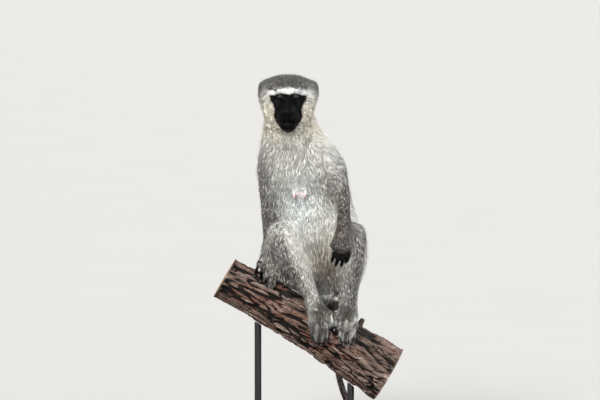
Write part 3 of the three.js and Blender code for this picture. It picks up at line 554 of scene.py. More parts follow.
class Body:  # the skin's mesh, and what varies over it
    def __init__(self):
        outer, self.tris = joinFlesh()
        self.edges = edgesOf(self.tris)
        self.shares = regionShares(outer, self.edges)
        fine = np.clip(self.part("hand", "foot", "ear", "teat"), 0, 1)[:, None]
        fine = np.maximum(fine, nearFace(outer)[:, None] * 0.75)
        for _ in range(6):
            outer = spread(outer, self.edges, 1) * (1 - fine * 0.85) + outer * fine * 0.85
        self.outer = self.points = outer
        self.markDigits()
        self.markFace()
        self.draw()
        self.leanTeats()
        self.openEyes()
        self.foldFace()
        self.normals = normalsOf(self.points, self.tris)

    def byPart(self, table, missing=0.0):
        values = np.array([table.get(name, table.get(partOf(name), missing)) for name in flesh], float)
        return self.shares @ values / self.shares.sum(1)

    def part(self, *parts):
        return self.byPart({name: 1.0 for name in parts})

    def markDigits(self):  # how far each point lies along a finger or toe, and on its top
        where = [(k, i) for k, (_, way, _) in enumerate(digits) for i in range(len(way))]
        tree = treeOf(np.concatenate([way for _, way, _ in digits]))
        self.digit = np.zeros(len(self.points))
        self.digitTop = np.zeros(len(self.points))
        self.digitWay = np.zeros_like(self.points)
        paw = self.part("hand", "foot")
        for i in np.flatnonzero(paw > 0.5):
            spot, index, gap = tree.find(self.points[i])
            k, stop = where[index]
            _, way, radii = digits[k]
            if gap < radii[stop] + 2.2:
                self.digit[i] = max(stop / (len(way) - 1), 0.03)
                off = (self.points[i] - np.array(spot)) / max(gap, 0.5)
                self.digitTop[i] = np.clip(-off[1] * 0.8 + off[2] * 0.4, -1, 1)
            self.digitWay[i] = unit(way[min(stop + 2, len(way) - 1)] - way[max(stop - 2, 0)])

    def markFace(self):
        x, y, z = (self.outer - eyeMiddle).T
        edge = np.interp(z, faceEdge["heights"], faceEdge["halfWidths"]) - np.abs(x)
        top = 6.5 - 0.003 * x**2 + 2.5 * bell(x, 0, 9)
        edge = np.minimum(edge, (top - z) * 1.5)
        self.bareFace = smooth(-1.5, 2.5, edge) * smooth(38, 26, y) * (self.part("head", "neck") > 0.3)
        brow = smooth(3, 6, z + 0.003 * x**2) * smooth(15.5, 13, z + 0.004 * x**2)
        self.brow = brow * smooth(42, 35, np.abs(x)) * smooth(34, 24, y) * (1 - self.bareFace)
        self.cheek = smooth(24, 36, np.abs(x)) * smooth(-4, -22, z) * smooth(-68, -50, z) * self.part("head")

    def draw(self):
        depth = self.byPart(skinShape["depth"])
        depth = depth * (1 - self.bareFace) + 0.3 * self.bareFace
        depth = depth * (1 - 0.3 * self.brow) + skinShape["cheek"] * self.cheek
        depth = np.where(self.digit > 0.2, np.minimum(depth, 0.2), depth)
        depth = spread(depth, self.edges, 6)[:, 0]
        for _ in range(skinShape["rounds"]):
            inward = normalsOf(self.points, self.tris)
            self.points = self.points - inward * (depth / skinShape["rounds"])[:, None]
            eased = spread(self.points, self.edges, 1, 0.6)
            ease = (smooth(0.6, 4, depth) * 0.9)[:, None]
            self.points = self.points * (1 - ease) + eased * ease
        self.depth = depth

    def leanTeats(self):  # they stand clear of the coat, and their bases further apart than their tips
        for side, apart in (("right", -4.5), ("left", 8.5)):
            low, high = (corner.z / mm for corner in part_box("teat_" + side))
            share = np.clip(self.part("teat_" + side) * 1.4, 0, 1)
            rise = smooth(low, high, self.points[:, 2]) * share
            self.points[:, 0] += apart * rise
            self.points[:, 1] -= 1.2 * rise * (1 - rise) + 2.5 * share

    def openEyes(self):  # lids over the eyeballs
        for side, outward in zip(sides, (-1, 1)):
            off = self.points - eyePlace(side)
            far = np.linalg.norm(off, axis=1)
            near = np.flatnonzero((far < eyeRadius + 12) & (off[:, 1] < -0.25 * far))
            off, far = off[near], far[near]
            facing = off / far[:, None] * eyeRadius
            u, v = facing[:, 0] * outward, facing[:, 2] - lids["tilt"] * facing[:, 0] * outward
            gape = np.maximum(1 - (u / lids["half"]) ** 2, 0) ** 0.75
            out = np.maximum(v - lids["upper"] * gape, -lids["lower"] * gape - v)
            out = np.maximum(out, np.abs(u) - lids["half"])
            rim = eyeRadius + lids["thick"] - 0.7 * bell(out, 2.6, 0.8)
            share = smooth(1.2, 6.5, out)
            wanted = np.where(out < 0, eyeRadius - 1.8, rim * (1 - share) + far * share)
            self.points[near] = eyePlace(side) + off / far[:, None] * wanted[:, None]

    def foldFace(self):  # nostrils, lips and folds
        bare = np.flatnonzero(self.bareFace > 0.2)
        x, y, z = (self.points[bare] - eyeMiddle).T
        beside = np.abs(x)
        nostril = bell(beside, 3.4, 1.5) * bell(z - 0.35 * beside, -31.5, 1.3)
        wing = bell(beside, 6.2, 2.0) * bell(z, -29.5, 3.0)
        mouth = bell(z - 0.016 * x**2, -43, 0.95) * smooth(17, 13, beside)
        lips = bell(z - 0.012 * x**2, -47.5, 2.6) * smooth(13, 7, beside)
        philtrum = bell(x, 0, 0.9) * smooth(-43, -40, z) * smooth(-32, -35, z)
        foldArea = smooth(-8, -13, z) * smooth(-30, -24, z) * smooth(7, 14, beside)
        folds = np.sin((z * 0.9 + 0.05 * x**2) * 1.6) * foldArea
        under = bell(np.hypot(beside - 13.2, z + 0.5), 9.6, 0.8) * smooth(-2, -5, z)
        lift = 0.7 * wing - 3.0 * nostril - 2.0 * mouth + 0.9 * lips - 0.6 * philtrum
        lift = lift + 0.22 * folds - 0.5 * under
        self.points[bare] += normalsOf(self.points, self.tris)[bare] * lift[:, None]


body = Body()
print("stage: skin", len(body.points), "points", len(body.tris), "triangles")


# ---- markings and the lie of the coat, over the skin
def distanceOver(points, edges, start):  # how far each point is along the skin from the start
    lengths = np.linalg.norm(points[edges[:, 0]] - points[edges[:, 1]], axis=1)
    ends = np.concatenate([edges, edges[:, ::-1]])
    order = np.argsort(ends[:, 0], kind="stable")
    others = ends[order, 1].tolist()
    steps = np.concatenate([lengths, lengths])[order].tolist()
    first = np.searchsorted(ends[order, 0], np.arange(len(points) + 1)).tolist()
    far = [math.inf] * len(points)
    queue = [(0.0, int(i)) for i in start]
    for _, i in queue:
        far[i] = 0.0
    heapq.heapify(queue)
    while queue:
        gone, i = heapq.heappop(queue)
        if gone > far[i]:
            continue
        for k in range(first[i], first[i + 1]):
            reach = gone + steps[k]
            if reach < far[others[k]]:
                far[others[k]] = reach
                heapq.heappush(queue, (reach, others[k]))
    far = np.array(far)
    return np.where(np.isfinite(far), far, far[np.isfinite(far)].max())


def slopeOf(values, points, tris):  # the direction in which a value grows over the skin
    a, b, c = (points[tris[:, k]] for k in range(3))
    normal = crossOf(points, tris)
    size = np.maximum((normal**2).sum(1), 1e-9)[:, None]
    va, vb, vc = (values[tris[:, k]][:, None] for k in range(3))
    slope = np.cross(normal, c - b) * va + np.cross(normal, a - c) * vb + np.cross(normal, b - a) * vc
    return toPoints(slope / size, tris, len(points))


def patches(points, size):  # soft random patches, 0 to 1, size millimetres across
    lattice = rng.random((64, 64, 64))
    place = points / size
    low = np.floor(place).astype(int)
    part = place - low
    part = part * part * (3 - 2 * part)
    total = np.zeros(len(points))
    for corner in range(8):
        offset = np.array([corner & 1, corner >> 1 & 1, corner >> 2])
        weight = np.prod(np.where(offset, part, 1 - part), axis=1)
        a, b, c = ((low + offset) % 64).T
        total += weight * lattice[a, b, c]
    return total


def around(points, place, reach):  # 1 at a place, fading over the reach along x, y and z
    return np.exp(-(((points - np.array(place)) / reach) ** 2).sum(1))


def markHead(mottle):  # the crown, the nape and the pale cheeks
    x, y, z = (body.points - eyeMiddle).T
    soft = 2 + 9 * smooth(24, 36, np.abs(x)) + 16 * smooth(42, 70, y)  # the crown fades over temples and nape
    crown = smooth(-soft, soft, z + 0.004 * x**2 - 10.7 - 3 * smooth(24, 40, np.abs(x)) + 3 * mottle)
    temple = smooth(26, 40, np.abs(x)) * smooth(-22, 6, z)
    nape = smooth(40, 58, y + 0.3 * z + 8 * mottle)
    return crown, nape, (1 - crown) * (1 - nape) * (0.75 - 0.55 * temple)


def paleFront(mottle, ahead):  # chest and belly, 1 in front, with the bib's edges
    px, py, height = body.points.T
    edge = np.interp(height, [330, 400, 450, 520], [-0.15, -0.3, -0.66, -0.7])
    front = smooth(0.24, -0.24, ahead - edge + 0.4 * mottle)
    left = np.interp(height, [430, 470, 510, 540], [64, 50, 36, 14])
    bib = smooth(7, -7, px - left + 12 * mottle) * smooth(-9, 7, px + 84 + 12 * mottle)
    bib = bib * smooth(30, -4, py + 24 * mottle + 0.25 * (height - 500))
    return np.clip(front + (bib - front) * smooth(425, 455, height), 0, 1) ** 0.6


def paleLimbs(mottle, aside):  # their inner sides, and painted rim light: a pale backlit fringe behind the left thigh and along the trunk's side
    part, (px, _, height) = body.part, body.points.T
    pale = np.zeros(len(px))
    for side, sign in zip(sides, (-1, 1)):
        across = aside * sign + 0.3 * mottle
        for name, low, high, share in (
            ("upper_arm_", -0.35, -0.75, 1),
            ("forearm_", -0.5, -0.8, 0.9 * smooth(315, 340, height)),
            ("thigh_", -0.1, -0.5, 0.85 * smooth(-78, -64, px)),
            ("shin_", 0.05, -0.45, 0.16 + 0.56 * smooth(236, 310, height)),
        ):
            pale += part(name + side) * smooth(low, high, across) * share
    outer = part("thigh_left", "shin_left") + part("trunk")
    # painted rim light: the left leg and trunk turn pale where they face +x, the fringe most and the flank
    # more softly
    rimLitFringe = smooth(0.7, 0.95, aside + 0.1 * mottle) * outer * smooth(450, 410, height)
    rimLitFlank = smooth(0.2, 0.6, aside) * part("trunk") * smooth(450, 410, height)
    pale += 1.1 * rimLitFringe + 0.9 * rimLitFlank + 0.35 * part("thigh_left") * smooth(335, 375, height)
    return pale + 0.4 * part("thigh_right") * smooth(290, 312, height)


def markFeet(mottle, streaks):  # pale outer sides in streaks, and the brown of the instep
    px, _, height = body.points.T
    feet = body.part("foot")
    noToe = feet * (body.digit <= 0)
    toeTop = smooth(0.1, 0.7, body.digitTop) * smooth(0.75, 0.35, body.digit) * (body.digit > 0)
    toes = 0.16 * toeTop * smooth(0.4, 0.7, streaks)
    beside = np.minimum(np.abs(px - 13), np.abs(px - 61))  # from the middle of the nearer foot
    facing = smooth(16, 6, np.abs(px - 37))  # the sides of the feet that face each other
    instep = noToe * smooth(246, 230, height) * smooth(14, 3, beside + 12 * mottle)
    instep = instep * smooth(202, 222, height + 16 * mottle)
    knuckles = feet * smooth(232, 206, height) * smooth(0.35, 0.75, streaks)
    sideways = noToe * smooth(8, 16, beside + 5 * mottle) * (0.25 + 0.5 * smooth(0.3, 0.6, streaks))
    pale = feet * (np.maximum(toes, 0.5 * knuckles) + 0.25 * smooth(232, 244, height))
    return pale + sideways * (1 - 0.75 * facing), instep * (1 - 0.9 * knuckles)


def markBody():
    points, part, height = body.points, body.part, body.points[:, 2]
    aside, ahead, _ = spread(body.normals, body.edges, 12).T
    head, neck, trunk = part("head", "ear"), part("neck"), part("trunk", "teat")
    hands, feet = part("hand"), part("foot")
    mottle = patches(points, 9) - 0.5
    streaks = patches(points * [1, 1, 0.16], 2.6)
    crown, nape, cheeks = markHead(mottle)
    # painted shade where the rump meets the branch: the low trunk darker and less pale
    seatShade = part("trunk") * smooth(258, 242, height)
    # painted shade where the belly curves under beside the right thigh
    creaseShade = around(points, (0, -30, 338), (34, 60, 17)) * part("trunk")
    wrist = around(points, (-84, -14, 294), (18, 50, 20))
    paleFeet, instep = markFeet(mottle, streaks)
    pale = head * cheeks + (neck + trunk) * paleFront(mottle, ahead) * (1 - 0.65 * seatShade) * (1 - 0.9 * creaseShade)
    pale = pale + paleLimbs(mottle, aside) + paleFeet
    pale = pale + 0.4 * part("tail") * smooth(-0.3, -0.8, body.normals[:, 2])

    fingers = hands * smooth(0.0, 0.12, body.digit) + feet * smooth(0.72, 0.95, body.digit)
    # painted shade on the toes' lower sides and in the gaps between them
    betweenToesShade = feet * (body.digit > 0.1) * smooth(0.25, -0.3, body.digitTop)
    toeEnds = feet * smooth(0.2, 0.8, body.digit)
    # painted shade low on the right haunch and trunk, near the branch
    haunchShade = part("thigh_right", "trunk") * smooth(296, 272, height)
    dark = body.byPart({"forearm": 0.95, "hand": 0.82, "foot": 0.7, "tail": 0.55})
    # dark: the coat's own dark parts plus painted shade at the seat, haunch, belly crease and between the
    # toes
    dark = dark + 0.9 * betweenToesShade + 0.8 * toeEnds + 0.55 * (seatShade + haunchShade) + 0.4 * creaseShade + 0.5 * wrist
    stain = around(points, (24, -20, 304), (26, 80, 18))
    blue = around(points, (-26, -50, 408), (38, 60, 46)) + 0.9 * around(points, (17, -10, 284), (16, 60, 12))
    throat = (head + neck + trunk) * smooth(505, 545, height) * smooth(20, -30, height - eyeMiddle[2])
    lap = around(points, (10, -30, 320), (60, 80, 45)) * part("trunk", "thigh")
    marks = {
        "pale": pale * (1 - 0.9 * wrist),
        "tip": part("teat") * smooth(424, 414, height),
        "bare": body.bareFace + part("ear") * 0.9 + fingers,
        "brow": body.brow,
        "crown": head * (crown + 0.4 * nape),
        "dark": dark,
        "brown": stain + 0.4 * instep + 0.1 * part("forearm", "hand"),
        "warm": 0.8 * throat + lap,
        "blue": blue * part("trunk", "teat", "thigh"),
        "teat": part("teat") * 1.3,
    }
    return {name: np.clip(value, 0, 1) for name, value in marks.items()}


def combCoat():
    x, y, z = (body.points - eyeMiddle).T
    nose = np.flatnonzero((body.bareFace > 0.5) & (np.abs(x) < 6) & (np.abs(z + 20) < 8))
    along = slopeOf(distanceOver(body.points, body.edges, nose), body.points, body.tris)
    along = spread(along, body.edges, 10)
    headShare = body.part("head", "ear")[:, None]
    pawShare = body.part("hand", "foot")[:, None]
    radial = unit(np.stack([x, 0 * x, z + 14], 1))
    radial[:, 2] -= smooth(20, 34, np.abs(x)) * smooth(10, -10, z)
    headFlow = unit(radial + np.array([0, 0.9, 0]) + np.array([0, 0, -1.6]) * smooth(50, 85, y)[:, None])
    down = {  # which way the coat hangs or is brushed, beside its flow away from the nose
        "neck": (0, 0, -0.6),
        "trunk": (0.08, 0, -1.5),
        "thigh_left": (0.55, 0.35, -0.9),
        "thigh_right": (-0.35, 0.35, -0.8),
        "shin_left": (0.4, 0.3, -0.6),
        "shin_right": (-0.1, 0.3, -0.6),
        "upper_arm_left": (0.1, 0.15, -0.4),
        "upper_arm_right": (-0.1, 0.1, -0.5),
    }
    pull = np.stack([body.byPart({k: v[axis] for k, v in down.items()}) for axis in range(3)], 1)
    flow = along * (1 - headShare) * (1 - 0.6 * pawShare) + pull + headFlow * headShare * 1.4
    flow = flow + body.digitWay * pawShare * 1.2
    normals = body.normals
    for _ in range(3):
        flow = flow - normals * (flow * normals).sum(1, keepdims=True)
        flow = spread(unit(flow), body.edges, 10)
    flow = flow - normals * (flow * normals).sum(1, keepdims=True)
    return unit(flow)


body.marks = markBody()
body.flow = combCoat()
print("stage: markings and lie of the coat")


# ---- finishes of skin and coat
coatTones = {
    "grizzled": [(0.1, rgb(40, 38, 40)), (0.48, rgb(124, 122, 120)), (0.88, rgb(236, 234, 228))],
    "crown": [(0.6, rgb(8, 7, 9)), (0.74, rgb(62, 61, 62)), (0.9, rgb(252, 251, 248))],
    "dusky": [(0.2, rgb(14, 12, 13)), (0.6, rgb(72, 66, 66)), (0.92, rgb(196, 192, 190))],
    "cream": [(0.0, rgb(232, 229, 220)), (0.4, rgb(249, 248, 243)), (1.0, rgb(255, 255, 252))],
    "brow": [(0.0, rgb(236, 238, 240)), (1.0, rgb(252, 253, 254))],
    "brown": [(0.0, rgb(76, 54, 36)), (1.0, rgb(158, 120, 80))],
    "warm": rgb(232, 220, 190),
    "blue": rgb(194, 214, 223),
    "bare": rgb(3, 3, 4),
    # painted sheen: a lighter black laid over the bare face in noise patches, standing in for its gloss
    "paintedBareSheen": rgb(9, 8, 9),
    "teat": rgb(236, 218, 218),
    "teatTip": rgb(212, 146, 136),
}


def coatColour(finish, along, chance):  # the same markings on skin and coat
    pale = finish.attribute("pale")
    band = finish.math("SINE", along * 8.0 + chance * 6.28) * 0.5 + 0.5
    tick = finish.clamp(band * 0.5 + chance * 0.62 - 0.06)
    colour = finish.ramp(tick, coatTones["grizzled"])
    speck = finish.clamp(chance * 0.66 + band * 0.36)
    colour = finish.mix(finish.attribute("crown"), colour, finish.ramp(speck, coatTones["crown"]))
    # the dark mark is partly the coat's own dark colour and partly painted shade
    colour = finish.mix(finish.attribute("dark"), colour, finish.ramp(tick, coatTones["dusky"]))
    cream = finish.ramp(along * 0.55 + chance * 0.55, coatTones["cream"])
    paleShare = finish.clamp(pale + (chance - 0.5) * pale * (1 - pale) * 1.4)
    colour = finish.mix(paleShare, colour, cream)
    colour = finish.mix(finish.attribute("warm") * 0.55, colour, coatTones["warm"], "MULTIPLY")
    colour = finish.mix(finish.attribute("blue") * 0.45, colour, coatTones["blue"])
    colour = finish.mix(finish.attribute("brown") * 0.8, colour, finish.ramp(chance, coatTones["brown"]))
    colour = finish.mix(finish.attribute("brow"), colour, finish.ramp(chance, coatTones["brow"]))
    return finish.mix(finish.attribute("bare"), colour, coatTones["bare"])


def coatFinish():
    finish = Finish("coat", Roughness=0.6, **{"Specular IOR Level": 0.22, "Sheen Weight": 0.1})
    return finish.done(Base_Color=coatColour(finish, finish.attribute("along"), finish.attribute("chance")))


def skinFinish():
    finish = Finish("skin", **{"Specular IOR Level": 0.05})
    spot = finish.place()
    speckle = finish.noise(spot, 420, 2)
    colour = coatColour(finish, speckle * 0.4, finish.smooth(speckle, 0.3, 0.7) * 0.6)
    bare = finish.attribute("bare")
    # painted sheen: noise patches where the bare face takes the lighter black
    paintedSheenPatches = finish.smooth(finish.noise(spot, 120, 3), 0.4, 0.75)
    colour = finish.mix(bare, colour, finish.mix(paintedSheenPatches, coatTones["bare"], coatTones["paintedBareSheen"]))
    teat = finish.mix(finish.attribute("tip"), coatTones["teat"], coatTones["teatTip"])
    colour = finish.mix(finish.attribute("teat"), colour, teat)
    pores = finish.cells(spot, 1100) * 0.5 + finish.noise(spot, 300, 4) * 0.9
    relief = finish.bump(pores, 0.4, 0.0006)
    return finish.done(Base_Color=colour, Normal=relief, Roughness=0.66 - bare * 0.22)


skin = makeMesh("skin", body.points, body.tris, body.marks, skinFinish())
ride(skin, "skin_dark", *flesh)
print("stage: skin finish")


# ---- coat
coat = {
    "patch": 0.003,  # how much of the map each tuft covers
    "clump": 6,  # tufts that lean together
    "lean": 0.08,  # how far single tufts turn aside, and how far whole patches of them do
    "sway": 0.18,
    "lengths": (0.7, 1.15),
    "widths": (0.7, 1.3),
    "strays": (0.05, 0.1),  # share of finer hairs that stand out, and how much more there are on the head
    "follow": (0.28, 0.4),  # share of tufts in their leader's colour, and how much more on the crown
    "gather": (0.1, 0.45),  # how far tips lean to their leader's
    "tilt": 0.22,
    "sunk": 0.4,  # how deep the roots are
    # each piece: the parts it covers, front (-1) or back (1) only, crown and brow or the rest only, how many
    # tufts, and whether they are straight (1) or bent once (2, which most are)
    "pieces": {
        "coat_crown": {"parts": ("head", "ear"), "above": True, "tufts": 40000, "bends": 1},
        "coat_cheeks": {"parts": ("head", "ear"), "above": False, "tufts": 18500},
        "coat_neck": {"parts": ("neck",), "tufts": 17500},
        "coat_chest": {"parts": ("trunk", "teat"), "side": -1, "tufts": 19500},
        "coat_back": {"parts": ("trunk", "teat"), "side": 1, "tufts": 14500},
        "coat_arms": {"parts": ("upper_arm", "forearm"), "tufts": 17000},
        "coat_thighs": {"parts": ("thigh",), "tufts": 17500},
        "coat_shins": {"parts": ("shin",), "tufts": 12000},
        "coat_paws": {"parts": ("hand", "foot"), "tufts": 25000, "bends": 1},
        "coat_tail": {"parts": ("tail",), "tufts": 18000, "bends": 1},
    },
    # length and width of the tufts, by part
    "sizes": {
        "head": (13, 1.1),
        "neck": (31, 1.15),
        "trunk": (34, 1.15),
        "ear": (5, 0.5),
        "teat": (4, 0.5),
        "tail": (15, 1.3),
        "upper_arm": (23, 1.15),
        "forearm": (15, 1.05),
        "hand": (9, 0.75),
        "thigh": (28, 1.15),
        "shin": (19, 1.05),
        "foot": (11, 0.9),
    },
    "density": {"teat": 0.0, "ear": 0.3, "hand": 0.9, "foot": 1.0},
}


def coatFields():
    x, y, z = (body.points - eyeMiddle).T
    length, width = (body.byPart({part: sizes[k] for part, sizes in coat["sizes"].items()}) for k in (0, 1))
    head = body.part("head")
    whisker = head * smooth(26, 36, np.abs(x)) * smooth(6, -8, z)
    length = length + 8 * whisker + 7 * head * smooth(-52, -62, z)
    length = length * (1 - 0.55 * body.part("trunk") * smooth(265, 246, body.points[:, 2]))
    aboveTeats = around(body.points, (-21, -50, 430), (24, 80, 27))
    length = length * (1 - 0.62 * aboveTeats)
    length = length * (1 - 0.6 * body.brow) * (1 - 0.85 * body.bareFace)
    digit = np.clip(body.digit * 3, 0, 1)
    length = length * (1 - 0.25 * digit)
    length = length + 6 * body.part("foot") * smooth(224, 212, body.points[:, 2]) * (1 - digit)
    height = np.minimum(body.depth - 0.8 * skinShape["cheek"] * body.cheek, length * 0.7)
    height = np.maximum(height, 0.3 * length * body.part("foot", "hand") * (1 - 0.6 * digit))
    height = height * (1 - 0.4 * body.brow) * (1 - 0.55 * aboveTeats)
    handDigit = digit * body.part("hand")
    density = body.byPart(coat["density"], 1.0) * (1 - 0.96 * body.bareFace) * (1 - 0.93 * handDigit)
    toeEnds = body.part("foot") * smooth(0.7, 0.9, body.digit)
    density = density * (1 - 0.7 * toeEnds) * (1 + 1.5 * body.brow)
    crown = body.marks["crown"] * head
    length = length * (1 - 0.42 * crown)
    height = height + (np.maximum(height, 0.62 * length) - height) * crown
    width = width * (1 - 0.4 * body.bareFace) * (1 - 0.1 * crown)
    return length, height, density, width


body.length, body.height, body.density, body.width = coatFields()
skinTree = BVHTree.FromPolygons(body.points.tolist(), body.tris.tolist())
pieceOfVertex = np.argmax(body.shares, axis=1)


def unwrap(points, tris):  # a flat map of this stretch of skin, for each corner of its triangles
    used, compact = np.unique(tris, return_inverse=True)
    thing = makeMesh("unwrap", points[used], compact.reshape(-1, 3))
    bpy.context.view_layer.objects.active = thing
    thing.select_set(True)
    bpy.ops.object.mode_set(mode="EDIT")
    bpy.ops.mesh.select_all(action="SELECT")
    bpy.ops.uv.smart_project(angle_limit=math.radians(66), island_margin=0.004)
    bpy.ops.object.mode_set(mode="OBJECT")
    flat = np.empty(len(tris) * 6, np.float32)
    thing.data.uv_layers.active.data.foreach_get("uv", flat)
    bpy.data.objects.remove(thing)
    return flat.reshape(-1, 3, 2)


def onSkin(places):  # the nearest skin to each place, with its normal
    spots, normals = np.empty_like(places), np.empty_like(places)
    for i, place in enumerate(places.tolist()):
        spot, _, index, _ = skinTree.find_nearest(place)
        spots[i] = spot
        normals[i] = body.normals[body.tris[index, 0]]
    return spots, normals


tuftForms = {  # triangles of a closed three-sided tuft, straight or bent once
    1: [[0, 1, 3], [1, 2, 3], [2, 0, 3], [0, 2, 1]],
    2: [
        *([0, 1, 4], [0, 4, 3], [1, 2, 5], [1, 5, 4], [2, 0, 3], [2, 3, 5]),
        *([3, 4, 6], [4, 5, 6], [5, 3, 6], [0, 2, 1]),
    ],
}


def mapTufts(thing, faces, grown, bends):  # each tuft covers a patch about its root's place on the skin's map
    offsets = [[-1, -1], [1, -1], [0.3, -0.7], [-1, 0], [1, 0], [0.3, 0.2]][: 3 * bends] + [[0, 1]]
    flat = unwrap(body.points, grown.tris)[grown.chosen]
    flat = (flat * grown.share[:, :, None]).sum(1) * 0.99 + 0.005
    spots = (flat[:, None] + np.array(offsets)[None] * coat["patch"] / 2).reshape(-1, 2)
    layer = thing.data.uv_layers.new(name="OFBake")
    layer.data.foreach_set("uv", spots[faces.ravel()].astype(np.float32).ravel())


def copies(faces, number, count):  # the faces of many things alike, each with count points
    return (faces[None] + (np.arange(number) * count)[:, None, None]).reshape(-1, 3)


def coatSkin(parts, side, above):  # the triangles of the skin on which a piece of coat grows
    corner = body.tris[:, 0]
    mine = np.array([partOf(name) in parts for name in flesh])[pieceOfVertex[corner]]
    if side:
        mine &= (body.normals[corner, 1] > 0) == (side > 0)
    if above is not None:
        mine &= (body.marks["crown"][corner] + body.brow[corner] > 0.35) == above
    return body.tris[mine]


class Tufts:  # the tufts of one piece, from random roots over its skin to tips on the coat's outside
    def __init__(self, tris, number, bends):
        self.tris, self.number, self.bends = tris, number, bends
        weight = areas(body.points, tris) * np.clip(body.density[tris[:, 0]], 0, None)
        self.chosen, self.share = scatter(tris, weight, number)
        self.root, self.normal = self.at(body.points), unit(self.at(body.normals))
        self.grow()
        self.part()
        self.points = self.shape()

    def at(self, values):  # what the skin has at the roots
        values = values.reshape(len(values), -1)
        return (values[self.tris[self.chosen]] * self.share[:, :, None]).sum(1)

    def value(self, values):
        return self.at(values)[:, 0]

    def grow(self):
        number, flow = self.number, unit(self.at(body.flow))
        wave = self.at(np.stack([patches(body.points, 26), patches(body.points, 12)], 1)) - 0.5
        self.chance = rng.random(number)
        lean = rng.normal(0, coat["lean"], number) + wave[:, 0] * coat["sway"]
        self.flow = unit(flow + np.cross(self.normal, flow) * lean[:, None])
        length = self.value(body.length) * rng.uniform(*coat["lengths"], number)
        fewest, more = coat["strays"]
        self.stray = rng.random(number) < fewest + more * self.value(body.part("head"))
        height = self.value(body.height) * (0.78 + 0.24 * rng.random(number) + 0.2 * wave[:, 1])
        self.height = np.where(self.stray, height * 1.2 + 0.1 * length, height)
        width = self.value(body.width) * rng.uniform(*coat["widths"], number)
        self.half = (width * np.where(self.stray, 0.5, 1) / 2)[:, None]
        self.reach = np.sqrt(np.maximum(length**2 - self.height**2, 1))
        self.tip = self.over(1, 1)

    def over(self, along, up):  # the places that are these shares of the reach and height from the roots
        spot, normal = onSkin(self.root + self.flow * (self.reach * along)[:, None])
        return spot + normal * (self.height * up)[:, None]

    def part(self):  # tips lean towards the nearest leading tuft's, so that the coat parts into locks
        number = self.number
        leaders = rng.choice(number, number // coat["clump"], replace=False)
        tree = treeOf(self.root[leaders])
        self.leader = leaders[[tree.find(place)[1] for place in self.root.tolist()]]
        near = smooth(8, 2.5, np.linalg.norm(self.root - self.root[self.leader], axis=1))[:, None]
        fewest, more = coat["follow"]
        follows = rng.random(number) < fewest + more * self.value(body.marks["crown"])
        self.chance = np.where(follows, self.chance[self.leader], self.chance)
        gather = rng.uniform(*coat["gather"], number)[:, None] * near
        self.gather = gather * np.where(self.stray, 0, 1)[:, None]
        self.tip = self.drawn(self.tip, self.gather)

    def drawn(self, places, share):
        return places * (1 - share) + places[self.leader] * share

    def shape(self):  # three rails from ring to ring, then the tip, all over the stand's board
        tilt = rng.normal(0, coat["tilt"], self.number)[:, None]
        across = unit(np.cross(self.normal, self.flow) + self.normal * tilt) * self.half
        ridge = unit(np.cross(self.flow, across)) * self.half * 0.45
        rings = [(self.root - self.normal * coat["sunk"], 0.75)]
        if self.bends == 2:
            rings.append((self.drawn(self.over(0.46, 0.78), self.gather * 0.35), 1.0))
        rails = [spot + side * size for spot, size in rings for side in (across, -across, ridge)]
        points = np.stack([*rails, self.tip], 1)
        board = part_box("stand_base")[1].z / mm + 0.3
        points[:, :, 2] = np.maximum(points[:, :, 2], board)
        return points


def growCoat(name, parts, tufts, material, side=0, above=None, bends=2):
    grown = Tufts(coatSkin(parts, side, above), tufts, bends)
    count = grown.points.shape[1]
    faces = copies(np.array(tuftForms[bends]), tufts, count)
    marks = [key for key in body.marks if key not in ("teat", "tip")]
    values = {key: np.repeat(grown.value(body.marks[key]), count) for key in marks}
    values["along"] = np.tile([0, 0, 0, 0.5, 0.5, 0.5, 1.0] if bends == 2 else [0, 0, 0, 1.0], tufts)
    values["chance"] = np.repeat(grown.chance, count)
    thing = makeMesh(name, grown.points.reshape(-1, 3), faces, values, material)
    mapTufts(thing, faces, grown, bends)
    ride(thing, "coat_pale" if name in ("coat_neck", "coat_chest", "coat_cheeks") else "coat_grey")
    print("stage:", name, len(faces), "triangles")


coatMaterial = coatFinish()
for pieceName, settings in coat["pieces"].items():
    growCoat(pieceName, material=coatMaterial, **settings)


# ---- eyes
eyeShape = {
    "iris": 0.66,  # the cornea's edge, as an angle
    "cornea": 0.9,  # how far it bulges
    "share": 0.985,  # of the solid's radius
    "turns": 48,
    "rings": 40,
    "gloss": {"Roughness": 0.2, "Coat Weight": 0.25, "Coat Roughness": 0.05, "Specular IOR Level": 0.3},
    # colours from the pupil out
    "stops": [
        (0.2, rgb(2, 2, 2)),
        (0.26, rgb(26, 16, 10)),
        (0.5, rgb(50, 32, 19)),
        (0.62, rgb(20, 13, 9)),
        (0.68, rgb(14, 11, 10)),
        (1.0, rgb(24, 19, 17)),
    ],
}


def eyeFinish():
    finish = Finish("eye", **eyeShape["gloss"])
    out = finish.attribute("out")
    streaks = finish.noise(finish.place(), 900, 2)
    return finish.done(Base_Color=finish.ramp(out + (streaks - 0.5) * 0.05, eyeShape["stops"]))


def ballGrid(turns, rings):  # a closed ball of rings about the -Y axis: angles, turns and faces
    angle = np.concatenate([[0], np.repeat(np.linspace(0, math.pi, rings + 1)[1:-1], turns), [math.pi]])
    circle = np.linspace(0, 2 * math.pi, turns, endpoint=False)
    turn = np.concatenate([[0], np.tile(circle, rings - 1), [0]])
    faces = []
    for j in range(turns):
        a, b = 1 + j, 1 + (j + 1) % turns
        faces.append((0, b, a))
        for i in range(rings - 2):
            faces += [(a, b + turns, a + turns), (a, b, b + turns)]
            a, b = a + turns, b + turns
        faces.append((a, b, len(angle) - 1))
    return angle, turn, np.array(faces)


